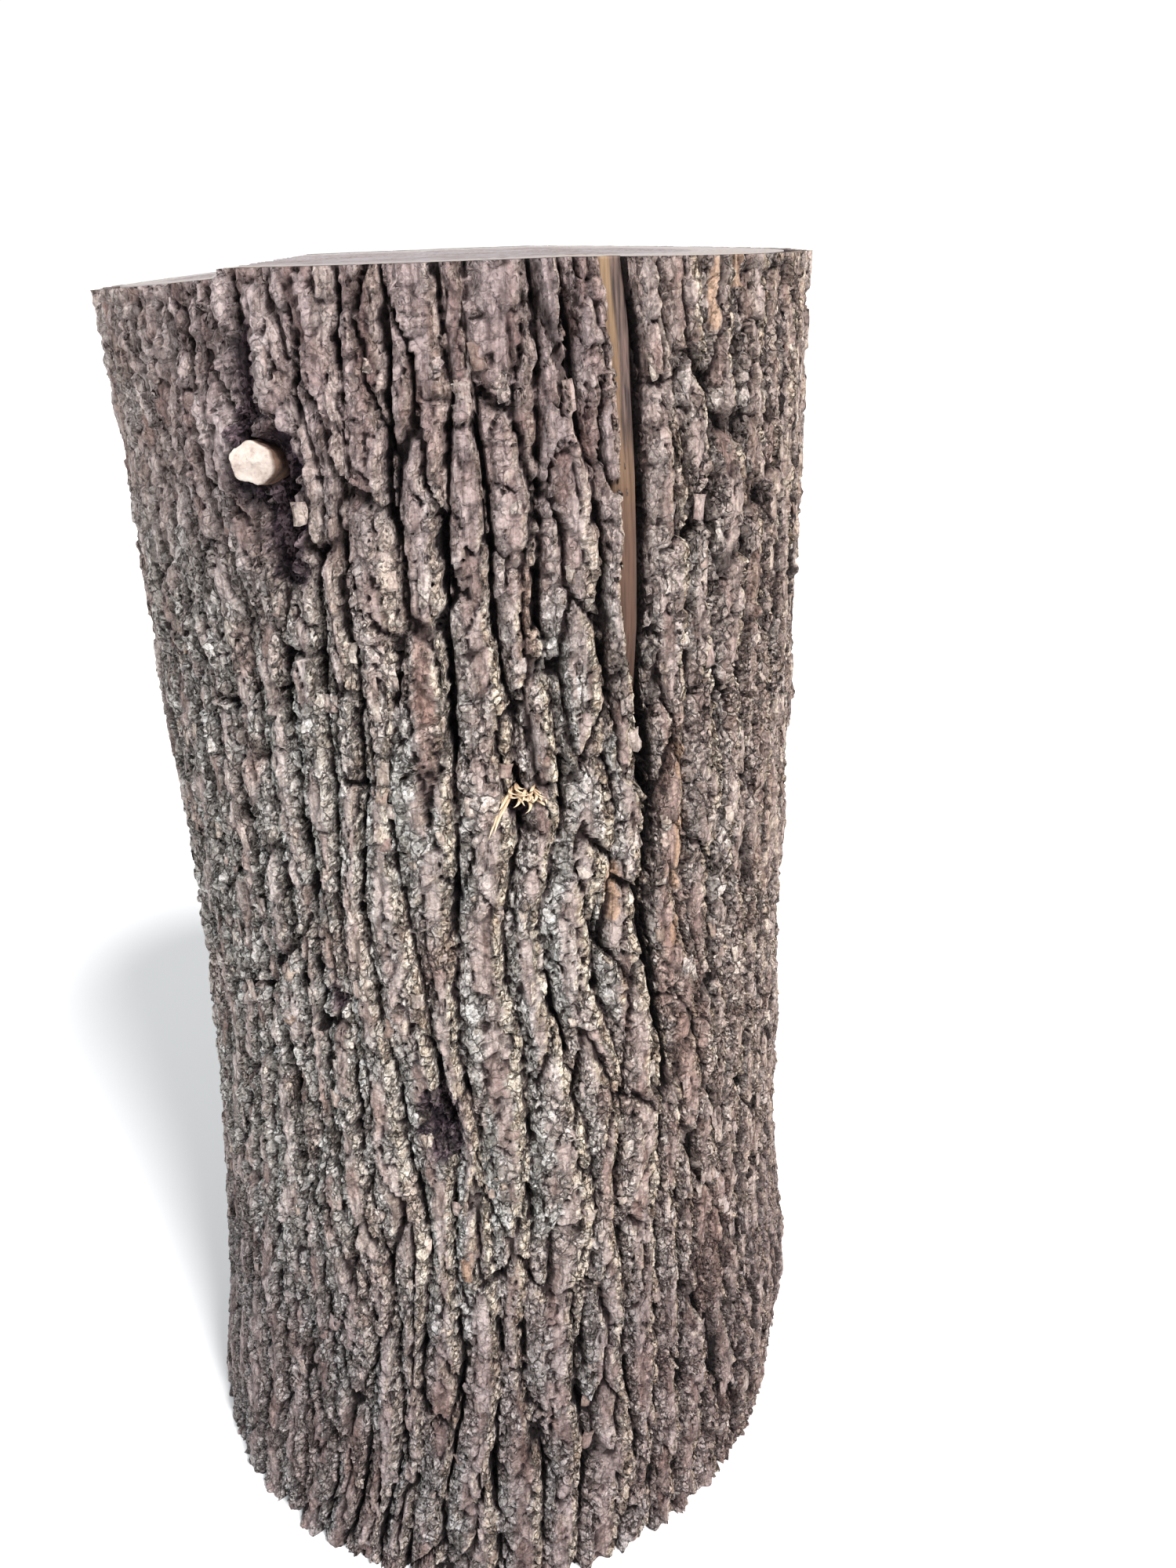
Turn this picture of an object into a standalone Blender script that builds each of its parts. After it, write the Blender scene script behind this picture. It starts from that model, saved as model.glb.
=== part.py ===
"""A walnut log, sawn off at both ends and stood on one of them. Metres, +Z up.

The origin is the middle of the sawn foot, and the side that the camera sees faces -Y. Wood and bark
grew as one piece, so the log is one solid. Its ridges, the split with bared wood, the pruned twig's
stub, the knot holes and the torn splinters are all part of it.

A place on the bark is an angle, counted from -Y towards +X, and a height.
"""

import math

import bmesh
import bpy
import numpy as np
from mathutils import Matrix, Vector

# Driving sizes of the trunk: radius over the bark at each height, from the sawn foot up.
HEIGHT = 0.914
TRUNK_HEIGHTS = (0.0, 0.11, 0.274, 0.457, 0.686, 0.914)
TRUNK_RADII = (0.2545, 0.2480, 0.2336, 0.2226, 0.2197, 0.2192)
LEAN = 0.031  # how far the top stands to +X of the foot
BOW = 0.010  # how far the middle bows to +X
BARK_THICKNESS = 0.017
LOBES = ((2, 0.0025, 0.7), (3, 0.0020, -1.1))  # how many round the trunk, how high, and the phase

# The trunk isn't quite round: angle, height, reach round, reach up and down, and the swelling.
SWELLINGS = (
    (75.0, 0.115, 26.0, 0.07, 0.009),
    (-78.0, 0.665, 24.0, 0.09, 0.004),
    (-75.0, 0.170, 26.0, 0.12, -0.004),
    (-29.0, 0.825, 15.0, 0.06, 0.005),
    (150.0, 0.300, 30.0, 0.15, 0.007),
)

# Bark: long ridges round the trunk, with three columns of faces to each.
RIDGES = 60
PITCH = 2.0 * math.pi / RIDGES
WANDER = 0.40  # how far a furrow wanders, as a share of the pitch
WAVES = ((0.62, 0.50), (0.31, 0.32), (0.17, 0.18))  # a wander's wavelengths and their shares
CREST_QUICKER = 2.3  # a ridge's shoulders rise and fall this much quicker than its furrows wander
FLOWS = ((2, 7.0, 0.045, 1.0), (5, -12.0, 0.020, 0.0))  # round, along, how far and phase, in radians
FURROW_SHALLOW = 0.003
FURROW_DEEP = 0.019
CREST_DROP = 0.0045
SHOULDERS = (0.0, 0.27, 0.75)  # where the columns lie across a ridge, from its left furrow
COLUMNS = RIDGES * len(SHOULDERS)
ROWS = 28
SEED = 7443

# The long split: angle of its left and right edge, in degrees, at falling heights.
SPLIT_HEIGHTS = (0.914, 0.87, 0.80, 0.75, 0.70, 0.66, 0.62, 0.59, 0.56, 0.50, 0.45, 0.40, 0.30, 0.0)
SPLIT_LEFT = (17.5, 19.5, 20.6, 19.6, 21.2, 21.4, 23.4, 22.6, 21.2, 24.0, 26.6, 27.4, 26.0, 25.0)
SPLIT_RIGHT = (21.5, 23.2, 23.6, 23.4, 23.0, 24.2, 25.2, 25.0, 22.6, 25.6, 28.2, 31.0, 31.0, 30.5)
SPLIT_RIDGE = 3  # the ridge whose place the split takes, counted from -Y
SPLIT_FOOT = (0.38, 0.46)  # below the first height it is an ordinary ridge again
SPLIT_SPREAD = 3.0  # how many ridges to each side make way for it
SPLIT_MIDDLE = 22.0  # where the slow flow of the furrows is stilled, and how far to each side
SPLIT_CALM = 28.6
SLIT_DEPTH = 0.006  # how far the dark slit at the right edge goes into the wood

# Where a branch was, the ridges part: angle, height, reach round, reach up and down, and the push.
KNOTS = (
    (-29.0, 0.820, 8.0, 0.055, 3.2),
    (-11.5, 0.418, 6.0, 0.050, 2.4),
    (3.0, 0.648, 5.0, 0.030, 1.4),
    (118.0, 0.560, 8.0, 0.060, 3.0),
    (-140.0, 0.350, 8.0, 0.060, 3.0),
)

# Holes and hollows: angle, height, then width, height and depth of the ellipsoid that is taken out.
HOLLOWS = (
    (-28.5, 0.812, 0.056, 0.104, 0.036),
    (-11.8, 0.418, 0.026, 0.046, 0.034),
    (-28.5, 0.500, 0.013, 0.020, 0.024),
    (22.9, 0.660, 0.011, 0.042, 0.072),
    (3.0, 0.638, 0.016, 0.018, 0.026),
    (118.0, 0.560, 0.030, 0.052, 0.036),
    (-140.0, 0.350, 0.024, 0.044, 0.032),
)

# The pruned twig: a short stub in the first hollow, its cut end turned a little up and to the left.
STUB_ANGLE = -29.3
STUB_HEIGHT = 0.826
STUB_RADIUS = 0.0110
STUB_ROOT = 0.030  # how deep it starts under the bark's surface
STUB_PROUD = 0.007
STUB_FLARE = 1.2
STUB_SIDES = 12
STUB_CUTS = ((-0.20, 0.45, 1.0), (0.10, -0.35, 1.0))  # which way its two cut faces look

# Torn splinters under the broken twig: angle, height, tip's shift round, tip's drop, tip's reach out.
SPLINTERS = (
    (2.2, 0.649, -0.017, 0.022, 0.009),
    (3.4, 0.650, -0.002, 0.014, 0.010),
    (4.4, 0.651, 0.006, 0.012, 0.009),
    (5.2, 0.652, 0.012, 0.008, 0.008),
)
SPLINTER_ROOT = 0.012
SPLINTER_RADIUS = 0.0028
SPLINTER_TIP = 0.25  # the tip's radius, as a share of the root's
SPLINTER_SIDES = 5

# The saw's work at the top: flat in the middle, a step and a slope on the left, a slope on the right.
STEP_AT = -0.085
STEP_DROP = 0.004
LEFT_SLOPE = 0.075
RIGHT_FROM = 0.085
RIGHT_SLOPE = 0.030
SAW_WEDGE = (0.5, 0.8, 0.1)  # the block that takes the left off: wider than what it cuts


def trunk_axis(height):
    """The trunk's axis: a straight lean plus one parabola that is highest half way up."""
    share = np.asarray(height) / HEIGHT
    return LEAN * share + 4.0 * BOW * share * (1.0 - share)


def turned(angle, other):
    """The angle between two places round the trunk, from -pi to pi."""
    return (angle - other + math.pi) % (2.0 * math.pi) - math.pi


def trunk_radius(angle, height):
    """Radius over the bark: the taper, two and three lobes, and the swellings as Gaussian bumps."""
    radius = np.interp(height, TRUNK_HEIGHTS, TRUNK_RADII)
    for count, amount, phase in LOBES:
        radius = radius + amount * np.cos(count * angle + phase)
    for at, level, round_reach, up_reach, amount in SWELLINGS:
        away = turned(angle, math.radians(at)) / math.radians(round_reach)
        up = (height - level) / up_reach
        radius = radius + amount * np.exp(-(away**2) - up**2)
    return radius


def waver(height, phases):
    """Three sine waves along the height, which add up to -1 to 1."""
    total = 0.0
    for (length, amount), phase in zip(WAVES, phases):
        total = total + amount * np.sin(2.0 * math.pi * height / length + phase)
    return total


def furrow_angles(heights):
    """Angle of every furrow at each height, in an array of ridges plus one by heights.

    A furrow keeps its own place to within the wander. The two furrows of the split are put on its
    edges, and their neighbours follow with a share that falls off as a Gaussian. Last, the furrows
    flow round the knots and along two slow waves.
    """
    draw = np.random.default_rng(SEED)
    phases = draw.uniform(0.0, 2.0 * math.pi, (RIDGES, 3))
    places = np.array([PITCH * (k + WANDER * waver(heights, phases[k])) for k in range(RIDGES)])
    left = np.radians(np.interp(heights, SPLIT_HEIGHTS[::-1], SPLIT_LEFT[::-1]))
    right = np.radians(np.interp(heights, SPLIT_HEIGHTS[::-1], SPLIT_RIGHT[::-1]))
    left_shift = left - places[SPLIT_RIDGE]
    right_shift = right - places[SPLIT_RIDGE + 1]
    for k in range(RIDGES):
        steps = (k - SPLIT_RIDGE + RIDGES // 2) % RIDGES - RIDGES // 2
        beyond = max(-steps, steps - 1, 0)
        share = math.exp(-((beyond / SPLIT_SPREAD) ** 2))
        places[k] += share * (left_shift if steps <= 0 else right_shift)
    near_split = turned(places, math.radians(SPLIT_MIDDLE)) / math.radians(SPLIT_CALM)
    flow = sum(
        far * np.sin(round_count * places + along * heights + phase)
        for round_count, along, far, phase in FLOWS
    )
    places = places + (1.0 - np.exp(-(near_split**2))) * flow
    for at, level, round_reach, up_reach, push in KNOTS:
        away = turned(places, math.radians(at)) / math.radians(round_reach)
        up = (heights - level) / up_reach
        places = places + math.radians(push) * away * np.exp(-(away**2) - up**2)
    return np.vstack([places, places[:1] + 2.0 * math.pi])


def split_share(height):
    """1 where the split is open, 0 below its foot, and a smooth step between."""
    step = np.clip((height - SPLIT_FOOT[0]) / (SPLIT_FOOT[1] - SPLIT_FOOT[0]), 0.0, 1.0)
    return step * step * (3.0 - 2.0 * step)


def relief(heights):
    """How deep each column lies under the trunk's radius, in columns by heights.

    A furrow's depth swings between shallow, where two ridges join, and deep. A ridge's two
    shoulders rise and fall by the crest drop. In the split, all three columns lie on the wood.
    """
    draw = np.random.default_rng(SEED + 1)
    phases = draw.uniform(0.0, 2.0 * math.pi, (RIDGES, len(SHOULDERS), 3))
    depths = np.empty((COLUMNS, len(heights)))
    opened = split_share(heights)
    for k in range(RIDGES):
        for place in range(len(SHOULDERS)):
            quicker = 1.0 if place == 0 else CREST_QUICKER
            swing = 0.5 + 0.5 * waver(heights * quicker, phases[k, place])
            if place == 0:
                depth = FURROW_SHALLOW + (FURROW_DEEP - FURROW_SHALLOW) * np.sqrt(swing)
            else:
                depth = CREST_DROP * swing
            if k == SPLIT_RIDGE:
                depth = depth + opened * (BARK_THICKNESS - depth)
            if k == SPLIT_RIDGE + 1 and place == 0:
                depth = depth + opened * (BARK_THICKNESS + SLIT_DEPTH - depth)
            depths[len(SHOULDERS) * k + place] = depth
    return depths


def bark_frame(angle_degrees, height):
    """The point on the bark at an angle and a height, with the directions right, up and out there."""
    angle = math.radians(angle_degrees)
    out = Vector((math.sin(angle), -math.cos(angle), 0.0))
    right = Vector((math.cos(angle), math.sin(angle), 0.0))
    middle = Vector((float(trunk_axis(height)), 0.0, height))
    return middle + float(trunk_radius(angle, height)) * out, right, Vector((0.0, 0.0, 1.0)), out


def bark_material():
    """Dry taupe-grey walnut bark."""
    material = bpy.data.materials.new("walnut_bark")
    material.use_nodes = True
    shader = material.node_tree.nodes["Principled BSDF"]
    shader.inputs["Base Color"].default_value = (0.235, 0.190, 0.165, 1.0)
    shader.inputs["Roughness"].default_value = 0.92
    shader.inputs["Metallic"].default_value = 0.0
    return material


def trunk():
    """A cylinder with rows cut into it, whose every point is then moved to its column's furrow or
    shoulder, and whose top is sawn off in a flat, a step and two slopes."""
    mesh = bpy.data.meshes.new("walnut_log")
    form = bmesh.new()
    blank = HEIGHT * (1.0 + 1.0 / ROWS)  # one row is sawn away at the top
    bmesh.ops.create_cone(
        form,
        cap_ends=True,
        segments=COLUMNS,
        radius1=1.0,
        radius2=1.0,
        depth=blank,
        matrix=Matrix.Translation((0.0, 0.0, blank / 2.0)),
    )
    heights = np.linspace(0.0, blank, ROWS + 2)
    for height in heights[1:-1]:
        bmesh.ops.bisect_plane(
            form,
            geom=form.verts[:] + form.edges[:] + form.faces[:],
            plane_co=(0.0, 0.0, float(height)),
            plane_no=(0.0, 0.0, 1.0),
        )
    furrows = furrow_angles(heights)
    depths = relief(heights)
    for point in form.verts:
        row = round(point.co.z / blank * (ROWS + 1))
        column = round(math.atan2(point.co.x, -point.co.y) / (2.0 * math.pi) * COLUMNS) % COLUMNS
        ridge, place = divmod(column, len(SHOULDERS))
        height = heights[row]
        across = furrows[ridge + 1, row] - furrows[ridge, row]
        angle = furrows[ridge, row] + SHOULDERS[place] * across
        radius = float(trunk_radius(angle, height)) - depths[column, row]
        point.co.x = float(trunk_axis(height)) + radius * math.sin(angle)
        point.co.y = -radius * math.cos(angle)
    saw(form, (0.0, 0.0, HEIGHT), (0.0, 0.0, 1.0))
    saw(form, (RIGHT_FROM, 0.0, HEIGHT), (RIGHT_SLOPE, 0.0, 1.0))
    form.normal_update()
    form.to_mesh(mesh)
    form.free()
    log = bpy.data.objects.new("walnut_log", mesh)
    log.data.materials.append(bark_material())
    return log


def saw(form, point, normal):
    """Takes off what lies beyond a plane and closes the cut with one flat face."""
    cut = bmesh.ops.bisect_plane(
        form,
        geom=form.verts[:] + form.edges[:] + form.faces[:],
        plane_co=point,
        plane_no=normal,
        clear_outer=True,
    )
    edges = [item for item in cut["geom_cut"] if isinstance(item, bmesh.types.BMEdge)]
    bmesh.ops.contextual_create(form, geom=edges)


def placed(mesh_object, right, up, out, point):
    """Turns an object so that its X, Y and Z run right, up and out from the bark at a point."""
    turn = Matrix((right, up, out)).transposed().to_4x4()
    mesh_object.matrix_world = Matrix.Translation(point) @ turn @ mesh_object.matrix_world
    return mesh_object


def object_of(form, name, collection):
    """An object made from a bmesh, in a collection."""
    mesh = bpy.data.meshes.new(name)
    form.to_mesh(mesh)
    form.free()
    made = bpy.data.objects.new(name, mesh)
    collection.objects.link(made)
    return made


def hollow(number, angle, height, width, tall, deep, cutters):
    """An ellipsoid whose middle lies on the bark's surface."""
    form = bmesh.new()
    bmesh.ops.create_icosphere(form, subdivisions=2, radius=1.0)
    bmesh.ops.scale(form, vec=(width / 2.0, tall / 2.0, deep / 2.0), verts=form.verts)
    point, right, up, out = bark_frame(angle, height)
    return placed(object_of(form, f"hollow_{number}", cutters), right, up, out, point)


def saw_step(cutters):
    """A wedge over the left of the top face: a low step, then a slope down to the rim."""
    form = bmesh.new()
    bmesh.ops.create_cube(form, size=1.0)
    slope = Matrix.Rotation(-math.atan(LEFT_SLOPE), 4, "Y")
    corner = Matrix.Translation((STEP_AT, 0.0, HEIGHT - STEP_DROP))
    place = corner @ slope @ Matrix.Translation((-SAW_WEDGE[0] / 2.0, 0.0, SAW_WEDGE[2] / 2.0))
    bmesh.ops.scale(form, vec=SAW_WEDGE, verts=form.verts)
    bmesh.ops.transform(form, matrix=place, verts=form.verts)
    return object_of(form, "saw_step", cutters)


def stub(joined):
    """The pruned twig: a short twelve-sided peg, cut off in two slopes like a chisel."""
    form = bmesh.new()
    length = STUB_ROOT + STUB_PROUD
    bmesh.ops.create_cone(
        form,
        cap_ends=True,
        segments=STUB_SIDES,
        radius1=STUB_RADIUS * STUB_FLARE,
        radius2=STUB_RADIUS,
        depth=length,
        matrix=Matrix.Translation((0.0, 0.0, length / 2.0 - STUB_ROOT)),
    )
    for normal in STUB_CUTS:
        saw(form, (0.0, 0.0, STUB_PROUD), normal)
    point, right, up, out = bark_frame(STUB_ANGLE, STUB_HEIGHT)
    return placed(object_of(form, "stub", joined), right, up, out, point)


def splinter(number, angle, height, shift, drop, reach, joined):
    """A slim torn sliver: a cone from inside the bark to a point that stands off it."""
    point, right, up, out = bark_frame(angle, height)
    root = point - SPLINTER_ROOT * out
    tip = point + shift * right - drop * up + reach * out
    form = bmesh.new()
    bmesh.ops.create_cone(
        form,
        cap_ends=True,
        segments=SPLINTER_SIDES,
        radius1=SPLINTER_RADIUS,
        radius2=SPLINTER_RADIUS * SPLINTER_TIP,
        depth=(tip - root).length,
    )
    made = object_of(form, f"splinter_{number}", joined)
    turn = (tip - root).to_track_quat("Z", "Y").to_matrix().to_4x4()
    made.matrix_world = Matrix.Translation((root + tip) / 2.0) @ turn
    return made


def boolean(log, collection, operation):
    """Adds or takes away everything in a collection, and applies the result."""
    modifier = log.modifiers.new(operation.lower(), "BOOLEAN")
    modifier.operation = operation
    modifier.operand_type = "COLLECTION"
    modifier.collection = collection
    modifier.solver = "EXACT"
    bpy.context.view_layer.update()
    solid = bpy.data.meshes.new_from_object(log.evaluated_get(bpy.context.evaluated_depsgraph_get()))
    log.modifiers.remove(modifier)
    log.data = solid
    for made in list(collection.objects):
        bpy.data.objects.remove(made)
    bpy.data.collections.remove(collection)


def build():
    """The whole log: trunk, then what the saw and decay took away, then what stands on it."""
    for made in list(bpy.data.objects):
        bpy.data.objects.remove(made)
    scene = bpy.context.scene
    whole = bpy.data.collections.new("walnut_log")
    cutters = bpy.data.collections.new("cutters")
    joined = bpy.data.collections.new("joined")
    for collection in (whole, cutters, joined):
        scene.collection.children.link(collection)
    log = trunk()
    whole.objects.link(log)
    saw_step(cutters)
    for number, values in enumerate(HOLLOWS):
        hollow(number, *values, cutters)
    boolean(log, cutters, "DIFFERENCE")
    stub(joined)
    for number, values in enumerate(SPLINTERS):
        splinter(number, *values, joined)
    boolean(log, joined, "UNION")
    log.data.name = "walnut_log"


build()
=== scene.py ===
import math

import bpy
import numpy as np
from mathutils import Matrix, Vector


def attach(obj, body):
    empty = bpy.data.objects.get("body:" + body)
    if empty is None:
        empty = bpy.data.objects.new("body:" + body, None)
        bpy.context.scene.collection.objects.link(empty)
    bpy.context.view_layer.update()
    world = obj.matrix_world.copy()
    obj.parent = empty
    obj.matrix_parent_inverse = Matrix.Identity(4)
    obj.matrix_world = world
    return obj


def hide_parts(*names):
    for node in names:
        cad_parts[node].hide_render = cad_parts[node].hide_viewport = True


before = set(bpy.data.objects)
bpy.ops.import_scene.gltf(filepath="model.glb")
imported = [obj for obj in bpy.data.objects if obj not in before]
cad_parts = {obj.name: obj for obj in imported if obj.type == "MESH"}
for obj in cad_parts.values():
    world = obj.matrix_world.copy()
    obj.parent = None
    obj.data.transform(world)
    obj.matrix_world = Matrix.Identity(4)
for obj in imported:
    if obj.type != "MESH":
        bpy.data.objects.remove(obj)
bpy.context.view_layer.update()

# The camera.
# A phone held level with the top of the log and tipped down along it, a little to the right of it.
# Its place and tilt come from fitting the log's outline in the photograph.
CAMERA_PLACE = Vector((0.031, -0.804, 0.927))
CAMERA_PITCH = math.radians(25.4)
CAMERA_YAW = math.radians(4.8)
CAMERA_ROLL = math.radians(-2.0)
CAMERA_LENS = 27.0
CAMERA_SENSOR = 36.0

ahead = Vector(
    (
        math.sin(CAMERA_YAW) * math.cos(CAMERA_PITCH),
        math.cos(CAMERA_YAW) * math.cos(CAMERA_PITCH),
        -math.sin(CAMERA_PITCH),
    )
)
level = Vector((math.cos(CAMERA_YAW), -math.sin(CAMERA_YAW), 0.0))
upright = level.cross(ahead)
camera_right = math.cos(CAMERA_ROLL) * level + math.sin(CAMERA_ROLL) * upright
camera_up = -math.sin(CAMERA_ROLL) * level + math.cos(CAMERA_ROLL) * upright
camera = bpy.data.objects.new("camera", bpy.data.cameras.new("camera"))
camera.data.sensor_fit = "VERTICAL"
camera.data.sensor_height = CAMERA_SENSOR
camera.data.lens = CAMERA_LENS
turn = Matrix((camera_right, camera_up, -ahead)).transposed().to_4x4()
camera.matrix_world = Matrix.Translation(CAMERA_PLACE) @ turn
bpy.context.scene.collection.objects.link(camera)
bpy.context.scene.camera = camera

# The bark.
# Old black walnut bark: long interlacing ridges with furrows as deep as the bark is thick, broken
# across into plates and crumbled into nodules. It grew on the wood and is modelled in six sectors
# that meet in furrows. Trunk, furrows and split follow the same formulas as the solid.
HEIGHT = 0.914
TRUNK_HEIGHTS = (0.0, 0.11, 0.274, 0.457, 0.686, 0.914)
TRUNK_RADII = (0.2545, 0.2480, 0.2336, 0.2226, 0.2197, 0.2192)
LEAN = 0.031
BOW = 0.010
MIDDLING_RADIUS = 0.225
GIRTH = 2.0 * math.pi * MIDDLING_RADIUS  # what the sizes of plates and crumbs are counted in
BARK_THICKNESS = 0.017
LOBES = ((2, 0.0025, 0.7), (3, 0.0020, -1.1))  # how many round the trunk, how far out, phase
# Swellings: angle in degrees from the front, height, reach in degrees, reach up, and how far out.
SWELLINGS = (
    (75.0, 0.115, 26.0, 0.07, 0.009),
    (-78.0, 0.665, 24.0, 0.09, 0.004),
    (-75.0, 0.170, 26.0, 0.12, -0.004),
    (-29.0, 0.825, 15.0, 0.06, 0.005),
    (150.0, 0.300, 30.0, 0.15, 0.007),
)
RIDGES = 60
PITCH = 2.0 * math.pi / RIDGES
WANDER = 0.40
WAVES = ((0.62, 0.50), (0.31, 0.32), (0.17, 0.18))  # length and share of each
CREST_QUICKER = 2.3
FLOWS = ((2, 7.0, 0.045, 1.0), (5, -12.0, 0.020, 0.0))  # count round, waves up, how far, phase
FURROW_SHALLOW = 0.003
FURROW_DEEP = 0.019
LEAST_FURROW = 0.009
CREST_DROP = 0.0045
SHOULDERS = (0.0, 0.27, 0.75)
TREAD = 0.0030  # the cork's layers end in treads as high as this
LAYERED = 0.90  # how much of the bark's height is drawn into treads
BLOCKS = (0.0235, 0.080)  # width and height between cross cracks, and then those of plates and crumbs
PLATES = (0.0092, 0.026)
CRUMBS = (0.0068, 0.0098)
UPPER_BARK = (0.70, 0.84)  # the bark has smoother plates above this
PROUDEST = 0.0045  # how far the bark may stand out past the trunk's radius
SEED = 7443
SPLIT_HEIGHTS = (0.914, 0.87, 0.80, 0.75, 0.70, 0.66, 0.62, 0.59, 0.56, 0.50, 0.45, 0.40, 0.30, 0.0)
SPLIT_LEFT = (17.5, 19.5, 20.6, 19.6, 21.2, 21.4, 23.4, 22.6, 21.2, 24.0, 26.6, 27.4, 26.0, 25.0)
SPLIT_RIGHT = (21.5, 23.2, 23.6, 23.4, 23.0, 24.2, 25.2, 25.0, 22.6, 25.6, 28.2, 31.0, 31.0, 30.5)
SPLIT_RIDGE = 3
SPLIT_FOOT = (0.38, 0.46)
SPLIT_SPREAD = 3.0
SPLIT_MIDDLE = 22.0
SPLIT_CALM = 28.6
SPLIT_FLOOR = 0.0200  # how deep the bared wood's bed lies
CHASM_TOP = (0.69, 0.66)  # the split is a chasm painted black as shade below this
CHASM_DEPTH = 0.036
# Knots: angle in degrees, height, reach in degrees, reach up, and how far they push the furrows.
KNOTS = (
    (-29.0, 0.820, 8.0, 0.055, 3.2),
    (-11.5, 0.418, 6.0, 0.050, 2.4),
    (3.0, 0.648, 5.0, 0.030, 1.4),
    (118.0, 0.560, 8.0, 0.060, 3.0),
    (-140.0, 0.350, 8.0, 0.060, 3.0),
)
# Hollows: angle in degrees, height, width, height across, and depth.
HOLLOWS = (
    (-28.8, 0.821, 0.040, 0.042, 0.030),
    (-27.4, 0.794, 0.024, 0.044, 0.032),
    (-30.2, 0.862, 0.012, 0.050, 0.022),
    (-11.8, 0.418, 0.028, 0.050, 0.016),
    (-28.5, 0.500, 0.013, 0.020, 0.016),
    (22.9, 0.660, 0.011, 0.042, 0.072),
    (3.0, 0.638, 0.016, 0.018, 0.026),
    (118.0, 0.560, 0.030, 0.052, 0.036),
    (-140.0, 0.350, 0.024, 0.044, 0.032),
)
BLACK_HOLE = 0.05  # a hollow deeper than this is painted black inside as shade, and the others are scabbed in a dark colour that is partly painted shade
STEP_AT = -0.085
STEP_DROP = 0.004
STEP_RUN = 0.003
LEFT_SLOPE = 0.075
RIGHT_FROM = 0.085
RIGHT_SLOPE = 0.030

SECTORS = 6
SECTOR_RIDGES = RIDGES // SECTORS
FIRST_RIDGE = SPLIT_RIDGE + 1  # a sector starts at the split's right edge
FRONT_SECTORS = (4, 5, 0)
FRONT_MESH = (17, 565)  # columns to a ridge, and rows up the log
BACK_MESH = (10, 360)
CROWDING = 0.35  # how much closer the columns lie at a furrow's walls
BARK_BACK = 0.046  # how far inside the trunk's radius a sector's hidden back lies
LEDGE = 0.0023  # the sawn wood's rim rests on a ledge this far under the bark's sawn face
END_REACH = 0.012
END_DEPTH = 0.0162  # within that reach of a sawn end a furrow stops just short of the wood
DEEPEST = 0.040  # elsewhere the bark may lie this deep


def trunk_axis(height):
    """The trunk's axis: a straight lean plus one parabola that is highest half way up."""
    share = height / HEIGHT
    return LEAN * share + 4.0 * BOW * share * (1.0 - share)


def turned(angle, other):
    """The angle between two places round the trunk, from -pi to pi."""
    return (angle - other + math.pi) % (2.0 * math.pi) - math.pi


def trunk_radius(angle, height):
    """Radius over the bark: the taper, two and three lobes, and the swellings as Gaussian bumps."""
    radius = np.interp(height, TRUNK_HEIGHTS, TRUNK_RADII)
    for count, amount, phase in LOBES:
        radius = radius + amount * np.cos(count * angle + phase)
    for at, level_at, round_reach, up_reach, amount in SWELLINGS:
        away = turned(angle, math.radians(at)) / math.radians(round_reach)
        up = (height - level_at) / up_reach
        radius = radius + amount * np.exp(-(away**2) - up**2)
    return radius


def waver(height, phases):
    """Three sine waves along the height, which add up to -1 to 1."""
    total = 0.0
    for (length, amount), phase in zip(WAVES, phases):
        total = total + amount * np.sin(2.0 * math.pi * height / length + phase)
    return total


def furrow_angles(heights):
    """Angle of every furrow at each height, in an array of ridges plus one by heights: its own
    wander, then the split and the neighbours that follow it, the slow flow, and the knots."""
    draw = np.random.default_rng(SEED)
    phases = draw.uniform(0.0, 2.0 * math.pi, (RIDGES, 3))
    places = np.array([PITCH * (k + WANDER * waver(heights, phases[k])) for k in range(RIDGES)])
    left = np.radians(np.interp(heights, SPLIT_HEIGHTS[::-1], SPLIT_LEFT[::-1]))
    right = np.radians(np.interp(heights, SPLIT_HEIGHTS[::-1], SPLIT_RIGHT[::-1]))
    left_shift = left - places[SPLIT_RIDGE]
    right_shift = right - places[SPLIT_RIDGE + 1]
    for k in range(RIDGES):
        steps = (k - SPLIT_RIDGE + RIDGES // 2) % RIDGES - RIDGES // 2
        beyond = max(-steps, steps - 1, 0)
        share = math.exp(-((beyond / SPLIT_SPREAD) ** 2))
        places[k] += share * (left_shift if steps <= 0 else right_shift)
    near_split = turned(places, math.radians(SPLIT_MIDDLE)) / math.radians(SPLIT_CALM)
    flow = sum(
        far * np.sin(round_count * places + along * heights + phase)
        for round_count, along, far, phase in FLOWS
    )
    places = places + (1.0 - np.exp(-(near_split**2))) * flow
    for at, level_at, round_reach, up_reach, push in KNOTS:
        away = turned(places, math.radians(at)) / math.radians(round_reach)
        up = (heights - level_at) / up_reach
        places = places + math.radians(push) * away * np.exp(-(away**2) - up**2)
    return np.vstack([places, places[:1] + 2.0 * math.pi])


def smooth(low, high, value):
    """The cubic step from 0 at low to 1 at high."""
    share = np.clip((value - low) / (high - low), 0.0, 1.0)
    return share * share * (3.0 - 2.0 * share)


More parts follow.
